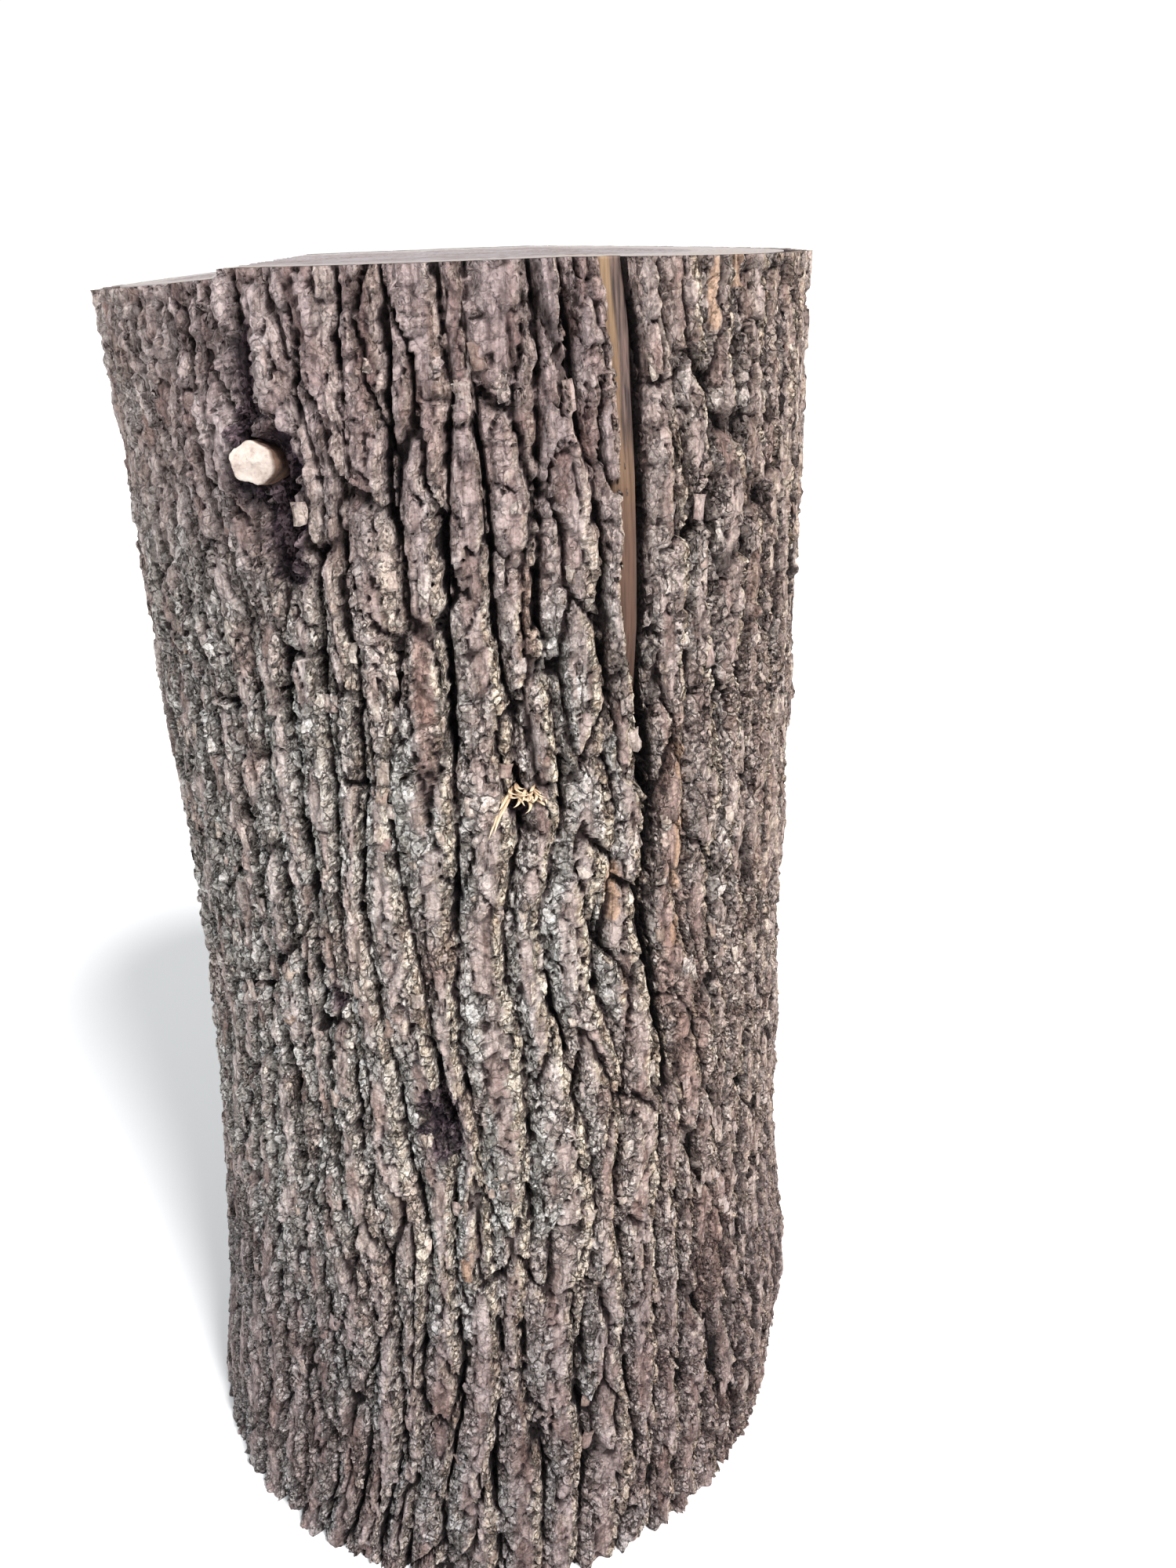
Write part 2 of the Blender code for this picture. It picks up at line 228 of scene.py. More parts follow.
def noise(angle, height, wide, tall, seed):
    """Smooth noise from -1 to 1: random numbers on a lattice round the trunk, wide by tall to a
    cell, blended with cubic steps."""
    around = max(3, round(GIRTH / wide))
    up = math.ceil(HEIGHT / tall) + 4
    table = np.random.default_rng(seed).uniform(-1.0, 1.0, (around, up))
    x = angle / (2.0 * math.pi) * around
    y = height / tall + 1.0
    i = np.floor(x).astype(int)
    j = np.clip(np.floor(y).astype(int), 0, up - 2)
    x = x - i
    y = y - j
    x = x * x * (3.0 - 2.0 * x)
    y = y * y * (3.0 - 2.0 * y)
    left = table[i % around, j] * (1.0 - y) + table[i % around, j + 1] * y
    right = table[(i + 1) % around, j] * (1.0 - y) + table[(i + 1) % around, j + 1] * y
    return left * (1.0 - x) + right * x


def rough(angle, height, wide, tall, seed):
    """Three layers of smooth noise, each half the size and half the strength of the last."""
    total = 0.0
    for layer in range(3):
        share = 0.5**layer
        total = total + share * noise(angle, height, wide * share, tall * share, seed + 17 * layer)
    return total / 1.75


def cells(angle, height, wide, tall, seed):
    """The cell pattern of points scattered one to each box of a grid, wide by tall, whose columns
    are each shifted up by a share of a box so that no borders line up round the log.

    Gives the distance to the nearest point and to the border with the next, both in metres as if
    cells were round, the offsets from the point along and up, and four random numbers per cell.
    """
    around = round(GIRTH / wide)
    up = math.ceil(HEIGHT / tall) + 6
    draw = np.random.default_rng(seed)
    table = draw.uniform(0.0, 1.0, (around, up, 6))
    shift = draw.uniform(0.0, 1.0, around)
    x = angle / (2.0 * math.pi) * around
    i0 = np.floor(x).astype(int)
    first = np.full(x.shape, 9.0)
    second = np.full(x.shape, 9.0)
    own = np.zeros(x.shape + (4,))
    dx = np.zeros(x.shape)
    dy = np.zeros(x.shape)
    for di in (-1, 0, 1):
        y = height / tall + 2.0 + shift[(i0 + di) % around]
        j0 = np.floor(y).astype(int)
        for dj in (-1, 0, 1):
            entry = table[(i0 + di) % around, np.clip(j0 + dj, 0, up - 1)]
            across = x - (i0 + di + 0.1 + 0.8 * entry[..., 0])
            along = y - (j0 + dj + 0.1 + 0.8 * entry[..., 1])
            distance = np.hypot(across, along)
            nearer = distance < first
            second = np.where(nearer, first, np.minimum(second, distance))
            first = np.where(nearer, distance, first)
            dx = np.where(nearer, across, dx)
            dy = np.where(nearer, along, dy)
            own = np.where(nearer[..., None], entry[..., 2:], own)
    return first * wide, 0.5 * (second - first) * wide, dx * wide, dy * tall, own


def sawn_top(x):
    """Height of the sawn top face: level in the middle, a step and a slope on the left, and a
    slighter slope on the right."""
    step = STEP_DROP * smooth(0.0, STEP_RUN, STEP_AT - x)
    left = LEFT_SLOPE * np.maximum(0.0, STEP_AT - x)
    right = RIGHT_SLOPE * np.maximum(0.0, x - RIGHT_FROM)
    return HEIGHT - step - left - right


def terraces(value, tread, riser):
    """A height drawn into level treads, with a steep riser at the edge of each."""
    steps = value / tread
    whole = np.floor(steps)
    return tread * (whole + smooth(0.5 - riser, 0.5 + riser, steps - whole))


def blurred(value, reach):
    """The mean over a square of grid points, from running sums along both axes."""
    for axis in (0, 1):
        pad = [(0, 0), (0, 0)]
        pad[axis] = (reach + 1, reach)
        total = np.cumsum(np.pad(value, pad, mode="edge"), axis=axis)
        size = value.shape[axis]
        high = np.take(total, np.arange(2 * reach + 1, 2 * reach + 1 + size), axis=axis)
        low = np.take(total, np.arange(size), axis=axis)
        value = (high - low) / (2 * reach + 1)
    return value


# Places where the outer bark has come off and shows fresh orange-tan, where it has turned red-brown,
# and where it is a dark scab, whose dark colour is partly painted shade: angle in degrees, height,
# half the width in degrees, half the length.
FRESH = (
    (17.0, 0.573, 1.2, 0.020),
    (29.0, 0.585, 0.8, 0.026),
    (28.4, 0.534, 0.7, 0.013),
    (30.0, 0.640, 0.7, 0.014),
    (35.4, 0.894, 0.9, 0.018),
    (41.0, 0.904, 0.8, 0.009),
    (-8.0, 0.300, 1.0, 0.010),
    (130.0, 0.420, 1.6, 0.024),
    (-120.0, 0.640, 1.4, 0.030),
)
REDDISH = (
    (28.3, 0.575, 2.9, 0.100),
    (33.0, 0.440, 3.6, 0.070),
    (-9.4, 0.700, 1.4, 0.045),
    (5.6, 0.745, 1.5, 0.030),
    (40.0, 0.250, 5.0, 0.060),
)
SCABS = (
    (-11.9, 0.416, 3.4, 0.027),
    (-27.2, 0.782, 2.6, 0.020),
    (-31.6, 0.834, 1.9, 0.026),
    (118.0, 0.540, 3.4, 0.026),
)


def patches(places, angle, height, edge):
    """A mask of squarish patches, whose edges are as ragged as asked."""
    ragged = rough(angle, height, 0.009, 0.012, 41)
    found = np.zeros(angle.shape)
    for at, level_at, wide, tall in places:
        out_x = turned(angle, math.radians(at)) / math.radians(wide)
        out_y = (height - level_at) / tall
        found = np.maximum(found, smooth(-0.1, 0.25, 1.0 - out_x**4 - out_y**4 - edge * ragged))
    return found


def ridge_walls(angle, height, ridge, across, width, ragged, coarse, fine):
    """The crest's depth, how far the bark falls from it to the furrows, and a mask of their slots.

    A furrow's depth is the root of a wave up the log. On each side of a ridge the wall falls in a
    broad bevel and then a narrow slot, whose line wobbles and which closes in places.
    """
    draw = np.random.default_rng(SEED + 1)
    phases = draw.uniform(0.0, 2.0 * math.pi, (RIDGES, len(SHOULDERS), len(WAVES)))
    own = phases[ridge % RIDGES].transpose(1, 2, 0)
    following = phases[(ridge + 1) % RIDGES].transpose(1, 2, 0)
    spread = FURROW_DEEP - FURROW_SHALLOW
    left_furrow, right_furrow = (
        np.maximum(FURROW_SHALLOW + spread * np.sqrt(0.5 + 0.5 * waver(height, phase)), LEAST_FURROW)
        for phase in (own[0], following[0])
    )
    left_crest, right_crest = (
        CREST_DROP * (0.5 + 0.5 * waver(height * CREST_QUICKER, phase)) for phase in own[1:]
    )
    crest = left_crest + (right_crest - left_crest) * smooth(SHOULDERS[1], SHOULDERS[2], across)
    narrow = 1.0 - smooth(0.006, 0.013, width)
    crest = crest + narrow * 0.55 * np.minimum(left_furrow, right_furrow)

    beside = np.exp(-((turned(angle, math.radians(21.5)) / math.radians(4.0)) ** 2))
    beside = beside * smooth(0.66, 0.70, height)
    wobble = (0.0026 * ragged + 0.0020 * coarse + 0.0012 * fine) * (1.0 - 0.8 * beside)
    open_share = 0.10 + 0.90 * smooth(-0.10, 0.45, noise(angle, height, 0.024, 0.034, 31) + 0.3 * fine)
    gap = 0.0003 + 0.0020 * np.clip(0.30 + 1.2 * ragged + fine, 0.0, 1.4)

    def wall(distance, furrow, reach, power):
        distance = np.abs(distance)
        bevel = (1.0 - np.clip(distance / reach, 0.0, 1.0)) ** power
        slot = (1.0 - smooth(gap, gap + 0.0014, distance)) * open_share
        return np.maximum(0.0, furrow - crest) * (0.42 * bevel + 0.58 * slot), slot

    left_reach = np.minimum(0.0105, 0.48 * width)
    right_reach = np.minimum(0.0045, 0.24 * width)
    left_drop, left_slot = wall(across * width + wobble, left_furrow, left_reach, 1.3)
    right_drop, right_slot = wall((1.0 - across) * width - wobble, right_furrow, right_reach, 1.2)
    return crest, np.maximum(left_drop, right_drop), np.maximum(left_slot, right_slot)


def split_open(depth, height, ridge, across, width, ragged, fine):
    """The split, carved into its ridge. Above is a level bed for the bared wood, which also takes
    the edge of the ridge to its left. Below is a chasm painted black as shade, with a torn slope on
    its right.

    Gives the new depth and a mask of the places painted black as shade.
    """
    opened = smooth(*SPLIT_FOOT, height) * (ridge % RIDGES == SPLIT_RIDGE)
    inside = smooth(-0.02, 0.16, np.minimum(across, 1.0 - across) + 0.04 * ragged)
    lower = smooth(*CHASM_TOP, height)
    torn = across + 0.20 * ragged + 0.10 * fine
    from_left = smooth(-0.06, 0.10, across)
    chasm = from_left * smooth(0.72, 0.50, torn)
    slope = from_left * smooth(1.02, 0.60, torn)
    bed = SPLIT_FLOOR + 0.0035 * ragged
    beside = smooth(0.0042, 0.0030, (1.0 - across) * width + 0.0012 * ragged)
    beside = beside * smooth(0.690, 0.705, height) * smooth(0.83, 0.80, height)
    beside = beside * (ridge % RIDGES == SPLIT_RIDGE - 1)
    opening = np.maximum(opened * inside * (1.0 - lower), beside)
    depth = depth + opening * (bed - depth)
    depth = depth + opened * lower * (0.55 * slope * np.maximum(0.0, SPLIT_FLOOR - depth))
    depth = depth + opened * lower * chasm * (CHASM_DEPTH - depth)
    black = opened * np.maximum((1.0 - lower) * smooth(0.70, 0.85, across), lower * chasm)
    return depth, black


def hollowed(depth, black, scab, angle, height, ragged, fine):
    """The hollows, each half a bowl with a ragged rim. Gives the new depth, and the masks of the
    places painted black as shade and of the scabbed ones, whose dark colour is partly painted shade."""
    for at, level_at, wide, tall, deep in HOLLOWS:
        out_x = turned(angle, math.radians(at)) * trunk_radius(angle, height) / (0.5 * wide)
        out_y = (height - level_at) / (0.5 * tall)
        dished = 1.1 - out_x**2 - out_y**2 - 1.1 * ragged - 0.9 * fine
        depth = depth + 0.5 * deep * np.sqrt(np.clip(dished, 0.0, 1.0)) * (1.0 + 0.5 * fine)
        if deep > BLACK_HOLE:
            black = np.maximum(black, smooth(-0.2, 0.3, dished))
        else:
            scab = np.maximum(scab, smooth(-0.7, 0.45, dished))
    return depth, black, scab


def bark_depth(angle, height, ridge, across, width):
    """How deep the bark lies under the trunk's radius, and its masks for colour.

    To the ridges' walls it adds cross cracks, which are the borders of cells as wide as a ridge and
    three times as tall, and plates, each at its own height and tilt. All of it is drawn into treads
    with ragged edges. Small cells with heights and tilts of their own make the crumbs. The split and
    the hollows come last.
    """
    ragged = rough(angle, height, 0.011, 0.014, 11)
    coarse = rough(angle, height, 0.030, 0.055, 12)
    fine = rough(angle, height, 0.0055, 0.0065, 13)
    crest, furrow, slot = ridge_walls(angle, height, ridge, across, width, ragged, coarse, fine)
    over = across + 0.11 * ragged + 0.07 * coarse
    upper = smooth(*UPPER_BARK, height) * smooth(34.0, 25.0, np.degrees(turned(angle, 0.0)))
    to_right = smooth(0.35, 0.85, np.sin(angle))
    to_left = smooth(0.35, 0.85, -np.sin(angle))
    sideways = np.abs(np.sin(angle))
    outer = np.maximum(np.maximum(to_right, to_left), smooth(0.34, 0.16, height))

    slide = 2.0 * math.pi / GIRTH * (0.0028 * rough(angle, height, 0.012, 0.016, 14) + 0.0040 * coarse)
    lift = 0.005 * rough(angle, height, 0.016, 0.016, 15)
    _, border, _, _, block = cells(angle + slide, height + lift, *BLOCKS, 20)
    cross = (1.0 - smooth(0.0007, 0.0026, border)) * smooth(0.42, 0.75, block[..., 0] + 0.35 * ragged)
    cross_depth = (0.0060 + 0.0040 * coarse) * cross

    _, border, dx, dy, own = cells(angle + slide, height + 0.6 * lift, *PLATES, 21)
    groove = (1.0 - smooth(0.0002, 0.0010, border)) * smooth(0.0, 0.4, own[..., 0] + 0.3 * fine)
    tilted = 0.42 * (own[..., 1] - 0.5) * dx + 0.14 * (own[..., 2] - 0.75) * dy
    plate = 0.0036 * (own[..., 3] - 0.5) + tilted + 0.0009 * rough(angle, height, 0.0080, 0.020, 16)
    central = smooth(0.26, 0.40, over) * smooth(0.80, 0.70, over)
    even = smooth(0.30, 0.44, own[..., 0] + 0.30 * coarse + 0.12 * upper) * np.maximum(central, 0.6 * upper)
    fresh = patches(FRESH, angle, height, 0.25)
    reddish = patches(REDDISH, angle, height, 1.1)
    crumbly = (1.0 - 0.80 * even) * (1.0 - 0.85 * np.maximum(fresh, 0.15 * reddish))

    _, edge, cx, cy, bead = cells(angle + 0.7 * slide, height - 0.5 * lift, *CRUMBS, 22)
    crumb = 0.0019 * (bead[..., 0] - 0.5) + 0.55 * (bead[..., 1] - 0.5) * cx
    crumb = crumb + 0.42 * (bead[..., 2] - 0.6) * cy
    cleft = 1.0 - smooth(0.0003, 0.0014, edge)
    lumps = 0.0009 * noise(angle, height, 0.0028, 0.0036, 17) + 0.0004 * fine

    body = crest + furrow + cross_depth - plate + 0.0016 * groove
    body = -LAYERED * terraces(-body + 0.0007 * fine, TREAD, 0.10) + (1.0 - LAYERED) * body
    body = body + 0.35 * (crest + furrow - body) * smooth(0.75, 0.97, sideways)
    amount = np.maximum(crumbly, 0.75 * upper) * (1.0 + 0.45 * outer)
    amount = amount * (1.0 - 0.50 * smooth(0.80, 0.98, sideways))
    scab = patches(SCABS, angle, height, 1.2)
    depth = body + (amount + 2.0 * scab) * (0.0012 * cleft - crumb - lumps) - (1.0 - crumbly) * 0.30 * lumps
    depth, black = split_open(depth, height, ridge, across, width, ragged, fine)
    depth, black, pit = hollowed(depth, black, scab, angle, height, ragged, fine)
    deepest = np.where(np.minimum(height, HEIGHT - height) < END_REACH, END_DEPTH, DEEPEST)
    depth = np.clip(depth, -PROUDEST, deepest)

    # Painted shade on the furrow walls that face away from the sun and the fill, at the log's two sides.
    painted_wall_shade = np.maximum(to_right * smooth(0.38, 0.14, over), 0.6 * to_left * smooth(0.84, 0.95, over))
    painted_wall_shade = painted_wall_shade * smooth(-0.50, 0.15, ragged + coarse)
    # How far the bark lies below what is round it, which sets painted shade in the dips of the relief.
    proud = np.clip((blurred(depth, 3) - depth) / 0.003, -1.0, 1.0)
    # A painted highlight on the ridges' right edges, strongest towards the right front where the sun is.
    side_line = 0.7 * smooth(0.38, 0.45, over) * smooth(0.60, 0.52, over) * smooth(0.55, 0.90, np.sin(angle))
    painted_highlight_share = 0.05 + 0.95 * smooth(0.30, 0.85, np.cos(angle - math.radians(35.0)))
    masks = {
        # How deep the bark lies, which sets painted shade in the furrows; it is full sooner at the sides and
        # the foot.
        "depth": np.clip(depth / (0.019 - 0.0045 * outer), 0.0, 1.0),
        "proud": 0.5 + 0.5 * proud,
        "plate": own[..., 3],
        "crumbly": crumbly * (1.0 - 0.6 * upper),
        "pit": pit,
        # Slots, cracks, grooves, shaded walls and black places, all darkened in the material as painted
        # shade.
        "crack": np.maximum.reduce([slot, 0.8 * cross, 0.5 * groove, painted_wall_shade, 1.2 * black]),
        "bead": bead[..., 3],
        # Painted cool light on the ridges' left flanks.
        "left": smooth(0.46, 0.26, over) * (1.0 - 0.5 * upper),
        "right": np.maximum(smooth(0.70, 0.80, over + 0.08 * fine), side_line) * (1.0 - slot),
        "painted_highlight_share": painted_highlight_share * (1.0 - 0.6 * upper),
        "fresh": fresh,
        "reddish": reddish,
    }
    return depth, masks


def mesh_of(name, points, quads, triangles=()):
    """A mesh object from arrays of points and of quads, with a few triangles if need be."""
    quads = np.asarray(quads, np.int32).reshape(-1, 4)
    triangles = np.asarray(triangles, np.int32).reshape(-1, 3)
    corners = np.concatenate([quads.ravel(), triangles.ravel()])
    sizes = np.concatenate([np.full(len(quads), 4), np.full(len(triangles), 3)])
    starts = np.concatenate([[0], np.cumsum(sizes)[:-1]])
    mesh = bpy.data.meshes.new(name)
    mesh.vertices.add(len(points))
    mesh.vertices.foreach_set("co", np.asarray(points, np.float32).ravel())
    mesh.loops.add(len(corners))
    mesh.loops.foreach_set("vertex_index", corners.astype(np.int32))
    mesh.polygons.add(len(sizes))
    mesh.polygons.foreach_set("loop_start", starts.astype(np.int32))
    mesh.polygons.foreach_set("use_smooth", np.ones(len(sizes), bool))
    mesh.update(calc_edges=True)
    mesh.validate()
    made = bpy.data.objects.new(name, mesh)
    bpy.context.scene.collection.objects.link(made)
    return made


def grid_quads(numbers):
    """The quads between neighbouring rows and columns of an array of point numbers."""
    low, high = numbers[:-1], numbers[1:]
    return np.stack([low[:, :-1], low[:, 1:], high[:, 1:], high[:, :-1]], -1).reshape(-1, 4)


def carry(mesh_object, name, values):
    """Stores four numbers for each point as a colour attribute that the material reads."""
    attribute = mesh_object.data.attributes.new(name, "FLOAT_COLOR", "POINT")
    attribute.data.foreach_set("color", np.asarray(values, np.float32).ravel())


def finished(piece, material):
    """Gives a piece its material, and has it stand for the log's solid and ride with it."""
    piece.data.materials.append(material)
    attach(piece, "root")
    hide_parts("walnut_log")
    return piece


def around_axis(angle, height, radius):
    """Points at an angle, a height and a radius from the trunk's axis."""
    return np.stack([trunk_axis(height) + radius * np.sin(angle), -radius * np.cos(angle), height], -1)


def sector_grid(number):
    """A sector's grid: rows up the log, and columns that follow the furrows and crowd towards them.

    Gives angle, height and radius over the bark at each point, the ridge of each column, and each
    point's place across its ridge and the ridge's width there.
    """
    ridge_columns, bark_rows = FRONT_MESH if number in FRONT_SECTORS else BACK_MESH
    share = np.linspace(0.0, 1.0, ridge_columns + 1)
    share = (1.0 - CROWDING) * share + CROWDING * (0.5 - 0.5 * np.cos(math.pi * share))
    first = FIRST_RIDGE + number * SECTOR_RIDGES
    ridge = np.repeat(np.arange(first, first + SECTOR_RIDGES), ridge_columns)
    ridge = np.append(ridge, first + SECTOR_RIDGES - 1)
    across = np.append(np.tile(share[:-1], SECTOR_RIDGES), 1.0)
    levels = np.linspace(0.0, 1.0, bark_rows + 1)
    furrows = furrow_angles(levels * HEIGHT)
    left, right = (
        furrows[edge % RIDGES] + 2.0 * math.pi * (edge // RIDGES)[:, None] for edge in (ridge, ridge + 1)
    )
    angle = (left + across[:, None] * (right - left)).T
    top = sawn_top(trunk_axis(HEIGHT) + trunk_radius(angle[-1], HEIGHT) * np.sin(angle[-1]))
    height = levels[:, None] * top[None, :]
    radius = trunk_radius(angle, height)
    return angle, height, radius, ridge, np.broadcast_to(across, angle.shape), (right - left).T * radius


def sector_body(angle, height, radius, skin):
    """A closed sector's points, quads and triangles. Its skin is the first grid. At each sawn end
    rows of points go in, down the ledge and on to the hidden back, which is one row of tall quads.
    Its two sides are a strip of quads along the skin and fans of triangles behind it."""
    rows, columns = angle.shape
    numbers = np.arange(rows * columns).reshape(rows, columns)
    points = [skin.reshape(-1, 3)]
    quads = [grid_quads(numbers)]
    count = numbers.size
    ends = []
    for row, away in ((rows - 1, -LEDGE), (0, LEDGE)):
        rings = [numbers[row]]
        for inset, lowered in ((BARK_THICKNESS, 0.0), (BARK_THICKNESS, away), (BARK_BACK, away)):
            points.append(around_axis(angle[row], height[row] + lowered, radius[row] - inset))
            rings.append(np.arange(count, count + columns))
            count += columns
        quads.append(grid_quads(np.array(rings if row else rings[::-1])))
        ends.append(rings)
    (_, top_in, top_under, top_back), (_, foot_in, foot_under, foot_back) = ends
    quads.append(np.stack([foot_back[1:], foot_back[:-1], top_back[:-1], top_back[1:]], -1)[1:-1])
    triangles = []
    for edge, near, turned_round in ((0, 1, False), (-1, -2, True)):
        points.append(around_axis(angle[:, edge], height[:, edge], radius[:, edge] - BARK_BACK)[1:-1])
        line = np.concatenate([[foot_back[edge]], np.arange(count, count + rows - 2), [top_back[edge]]])
        count += rows - 2
        side = grid_quads(np.array([line, numbers[:, edge]]).T)
        half = rows // 2
        low = np.stack([line[:half], line[1 : half + 1], np.full(half, foot_back[near])], -1)
        high = np.stack([line[half:-1], line[half + 1 :], np.full(rows - 1 - half, top_back[near])], -1)
        rest = [
            [line[half], top_back[near], foot_back[near]],
            [line[-1], numbers[-1, edge], top_in[edge]],
            [line[-1], top_in[edge], top_under[edge]],
            [line[0], foot_in[edge], numbers[0, edge]],
            [line[0], foot_under[edge], foot_in[edge]],
        ]
        fans = np.concatenate([low, high, rest])
        quads.append(side[:, ::-1] if turned_round else side)
        triangles.append(fans[:, ::-1] if turned_round else fans)
    return np.concatenate(points), np.concatenate(quads), np.concatenate(triangles)


def bark_tints(angle, height, radius, depth, masks):
    """The three sets of four numbers that the material reads, each with its hidden faces' values.

    A painted highlight lies on the rims where the bark falls steeply to the right, and on the ridges'
    right edges, strongest towards the sun. Lichen grows on the damp left side of the log.
    """
    slope = np.gradient(blurred(depth, 1), axis=1) / np.maximum(1e-5, np.gradient(angle * radius, axis=1))
    rim = np.maximum(smooth(0.25, 0.8, slope), masks["right"]) * masks["painted_highlight_share"]
    rim = rim * (1.0 - 0.8 * masks["crack"]) * (1.0 - 0.8 * masks["depth"])
    warm = 0.8 * smooth(0.25, 0.55, rough(angle, height, 0.022, 0.060, 43))
    flank = 0.40 * smooth(0.30, 0.95, np.cos(angle - math.radians(75.0)))
    reddish = np.maximum(masks["reddish"], np.maximum(warm, flank))
    damp_side = 0.6 * np.cos(angle + math.radians(75.0))
    lichen = smooth(-0.4, 0.7, rough(angle, height, 0.05, 0.09, 42) + damp_side)
    return (
        ("light", (0.0, 0.0, 0.0, 0.0), (masks["proud"], masks["bead"], masks["left"], reddish)),
        ("form", (0.5, 0.0, 0.5, 0.5), (masks["depth"], masks["crack"], masks["plate"], masks["crumbly"])),
        ("tint", (0.0, 0.0, 0.0, 0.0), (masks["fresh"], lichen, rim, masks["pit"])),
    )


def bark_sector(number):
    """One closed sector of bark, with the numbers for its material on its points."""
    angle, height, radius, ridge, across, width = sector_grid(number)
    depth, masks = bark_depth(angle, height, ridge, across, width)
    skin = around_axis(angle, height, radius - depth)
    points, quads, triangles = sector_body(angle, height, radius, skin)
    sector = mesh_of(f"bark_{number}", points, quads, triangles)
    for name, hidden, shown in bark_tints(angle, height, radius, depth, masks):
        values = np.tile(hidden, (len(points), 1))
        values[: angle.size] = np.stack(shown, -1).reshape(-1, 4)
        carry(sector, name, values)
    skins.append((skin, depth))
    return sector


def nodes_of(name):
    """A new material, its node tree and its shader."""
    material = bpy.data.materials.new(name)
    material.use_nodes = True
    tree = material.node_tree
    return material, tree, tree.nodes["Principled BSDF"]


def node(tree, kind, fed=None, **settings):
    """A node with its settings, and with each named or numbered input set to a value or linked to
    the socket that feeds it."""
    made = tree.nodes.new(kind)
    for key, value in settings.items():
        setattr(made, key, value)
    for key, value in (fed or {}).items():
        if isinstance(value, bpy.types.NodeSocket):
            tree.links.new(value, made.inputs[key])
        else:
            made.inputs[key].default_value = value
    return made


def linear(red, green, blue):
    """A colour that is read off a screen from 0 to 255, as the shader wants it."""
    scaled = [channel / 255.0 for channel in (red, green, blue)]
    return tuple(((c + 0.055) / 1.055) ** 2.4 if c > 0.04045 else c / 12.92 for c in scaled)


def ramp(tree, source, *stops, screen=True):
    """A colour ramp fed by a value. A stop is a place and a colour off a screen, or else a plain
    factor for each channel."""
    made = node(tree, "ShaderNodeValToRGB", {"Fac": source})
    elements = made.color_ramp.elements
    while len(elements) < len(stops):
        elements.new(0.5)
    for element, (place, *colour) in zip(elements, stops):
        element.position = place
        element.color = (*(linear(*colour) if screen else colour), 1.0)
    return made.outputs["Color"]


def mix(tree, share, first, second, how="MIX"):
    """Mixes two colours, each a socket or three numbers."""
    first, second = (
        value if isinstance(value, bpy.types.NodeSocket) else (*value, 1.0) for value in (first, second)
    )
    fed = {0: share, 6: first, 7: second}
    return node(tree, "ShaderNodeMix", fed, data_type="RGBA", blend_type=how).outputs[2]


def sums(tree, operation, *values):
    """A math node on sockets or numbers."""
    return node(tree, "ShaderNodeMath", dict(enumerate(values)), operation=operation).outputs[0]


def times(tree, first, second):
    """The product of two sockets, or of a socket and a number."""
    return sums(tree, "MULTIPLY", first, second)


def weighted(tree, *terms, plus=0.0):
    """The sum of sockets, each times its own number, and of a constant."""
    total = plus
    for value, share in terms:
        total = sums(tree, "MULTIPLY_ADD", value, share, total)
    return total


def step_up(tree, value, low, high):
    """A smooth step of a value from low to high."""
    ends = {"Value": value, "From Min": low, "From Max": high}
    return node(tree, "ShaderNodeMapRange", ends, interpolation_type="SMOOTHSTEP").outputs["Result"]


def carried(tree, name):
    """The four numbers that were stored for each point under a name."""
    attribute = node(tree, "ShaderNodeAttribute", attribute_name=name)
    parts = node(tree, "ShaderNodeSeparateColor", {0: attribute.outputs["Color"]})
    return (*parts.outputs, attribute.outputs["Alpha"])


def object_place(tree, stretch=(1.0, 1.0, 1.0)):
    """Object coordinates times a number along each axis; under one draws a pattern out."""
    place = tree.nodes.new("ShaderNodeTexCoord").outputs["Object"]
    return node(tree, "ShaderNodeMapping", {"Vector": place, "Scale": stretch}).outputs[0]


def noise_at(tree, place, scale, detail, roughness=0.5):
    """The outputs of a noise texture."""
    values = {"Vector": place, "Scale": scale, "Detail": detail, "Roughness": roughness}
    return node(tree, "ShaderNodeTexNoise", values).outputs


def dress(tree, shader, colour, roughness, relief, strength=1.0, distance=1.0):
    """Feeds a shader its colour, and a relief as a bump whose node it gives back."""
    bump = node(tree, "ShaderNodeBump", {"Height": relief, "Strength": strength, "Distance": distance})
    tree.links.new(bump.outputs["Normal"], shader.inputs["Normal"])
    tree.links.new(colour, shader.inputs["Base Color"])
    shader.inputs["Roughness"].default_value = roughness
    return bump


def tilted_cells(group, place, scale):
    """Cells in a group that are each tilted and raised their own way: their random numbers, and the
    tilt's height in metres before it is scaled."""
    cell = node(group, "ShaderNodeTexVoronoi", {"Vector": place, "Scale": scale}, feature="F1").outputs
    off = node(group, "ShaderNodeVectorMath", {0: place, 1: cell["Position"]}, operation="SUBTRACT")
    way = node(group, "ShaderNodeVectorMath", {0: cell["Color"], 1: (0.5, 0.5, 0.5)}, operation="SUBTRACT")
    both = {0: off.outputs[0], 1: way.outputs[0]}
    tilt = node(group, "ShaderNodeVectorMath", both, operation="DOT_PRODUCT")
    return node(group, "ShaderNodeSeparateColor", {0: cell["Color"]}).outputs, tilt.outputs["Value"]


def put_out(group, values):
    """Gives a node group its named outputs, each fed by its value."""
    for name in values:
        group.interface.new_socket(name, in_out="OUTPUT", socket_type="NodeSocketFloat")
    node(group, "NodeGroupOutput", values)
    return group


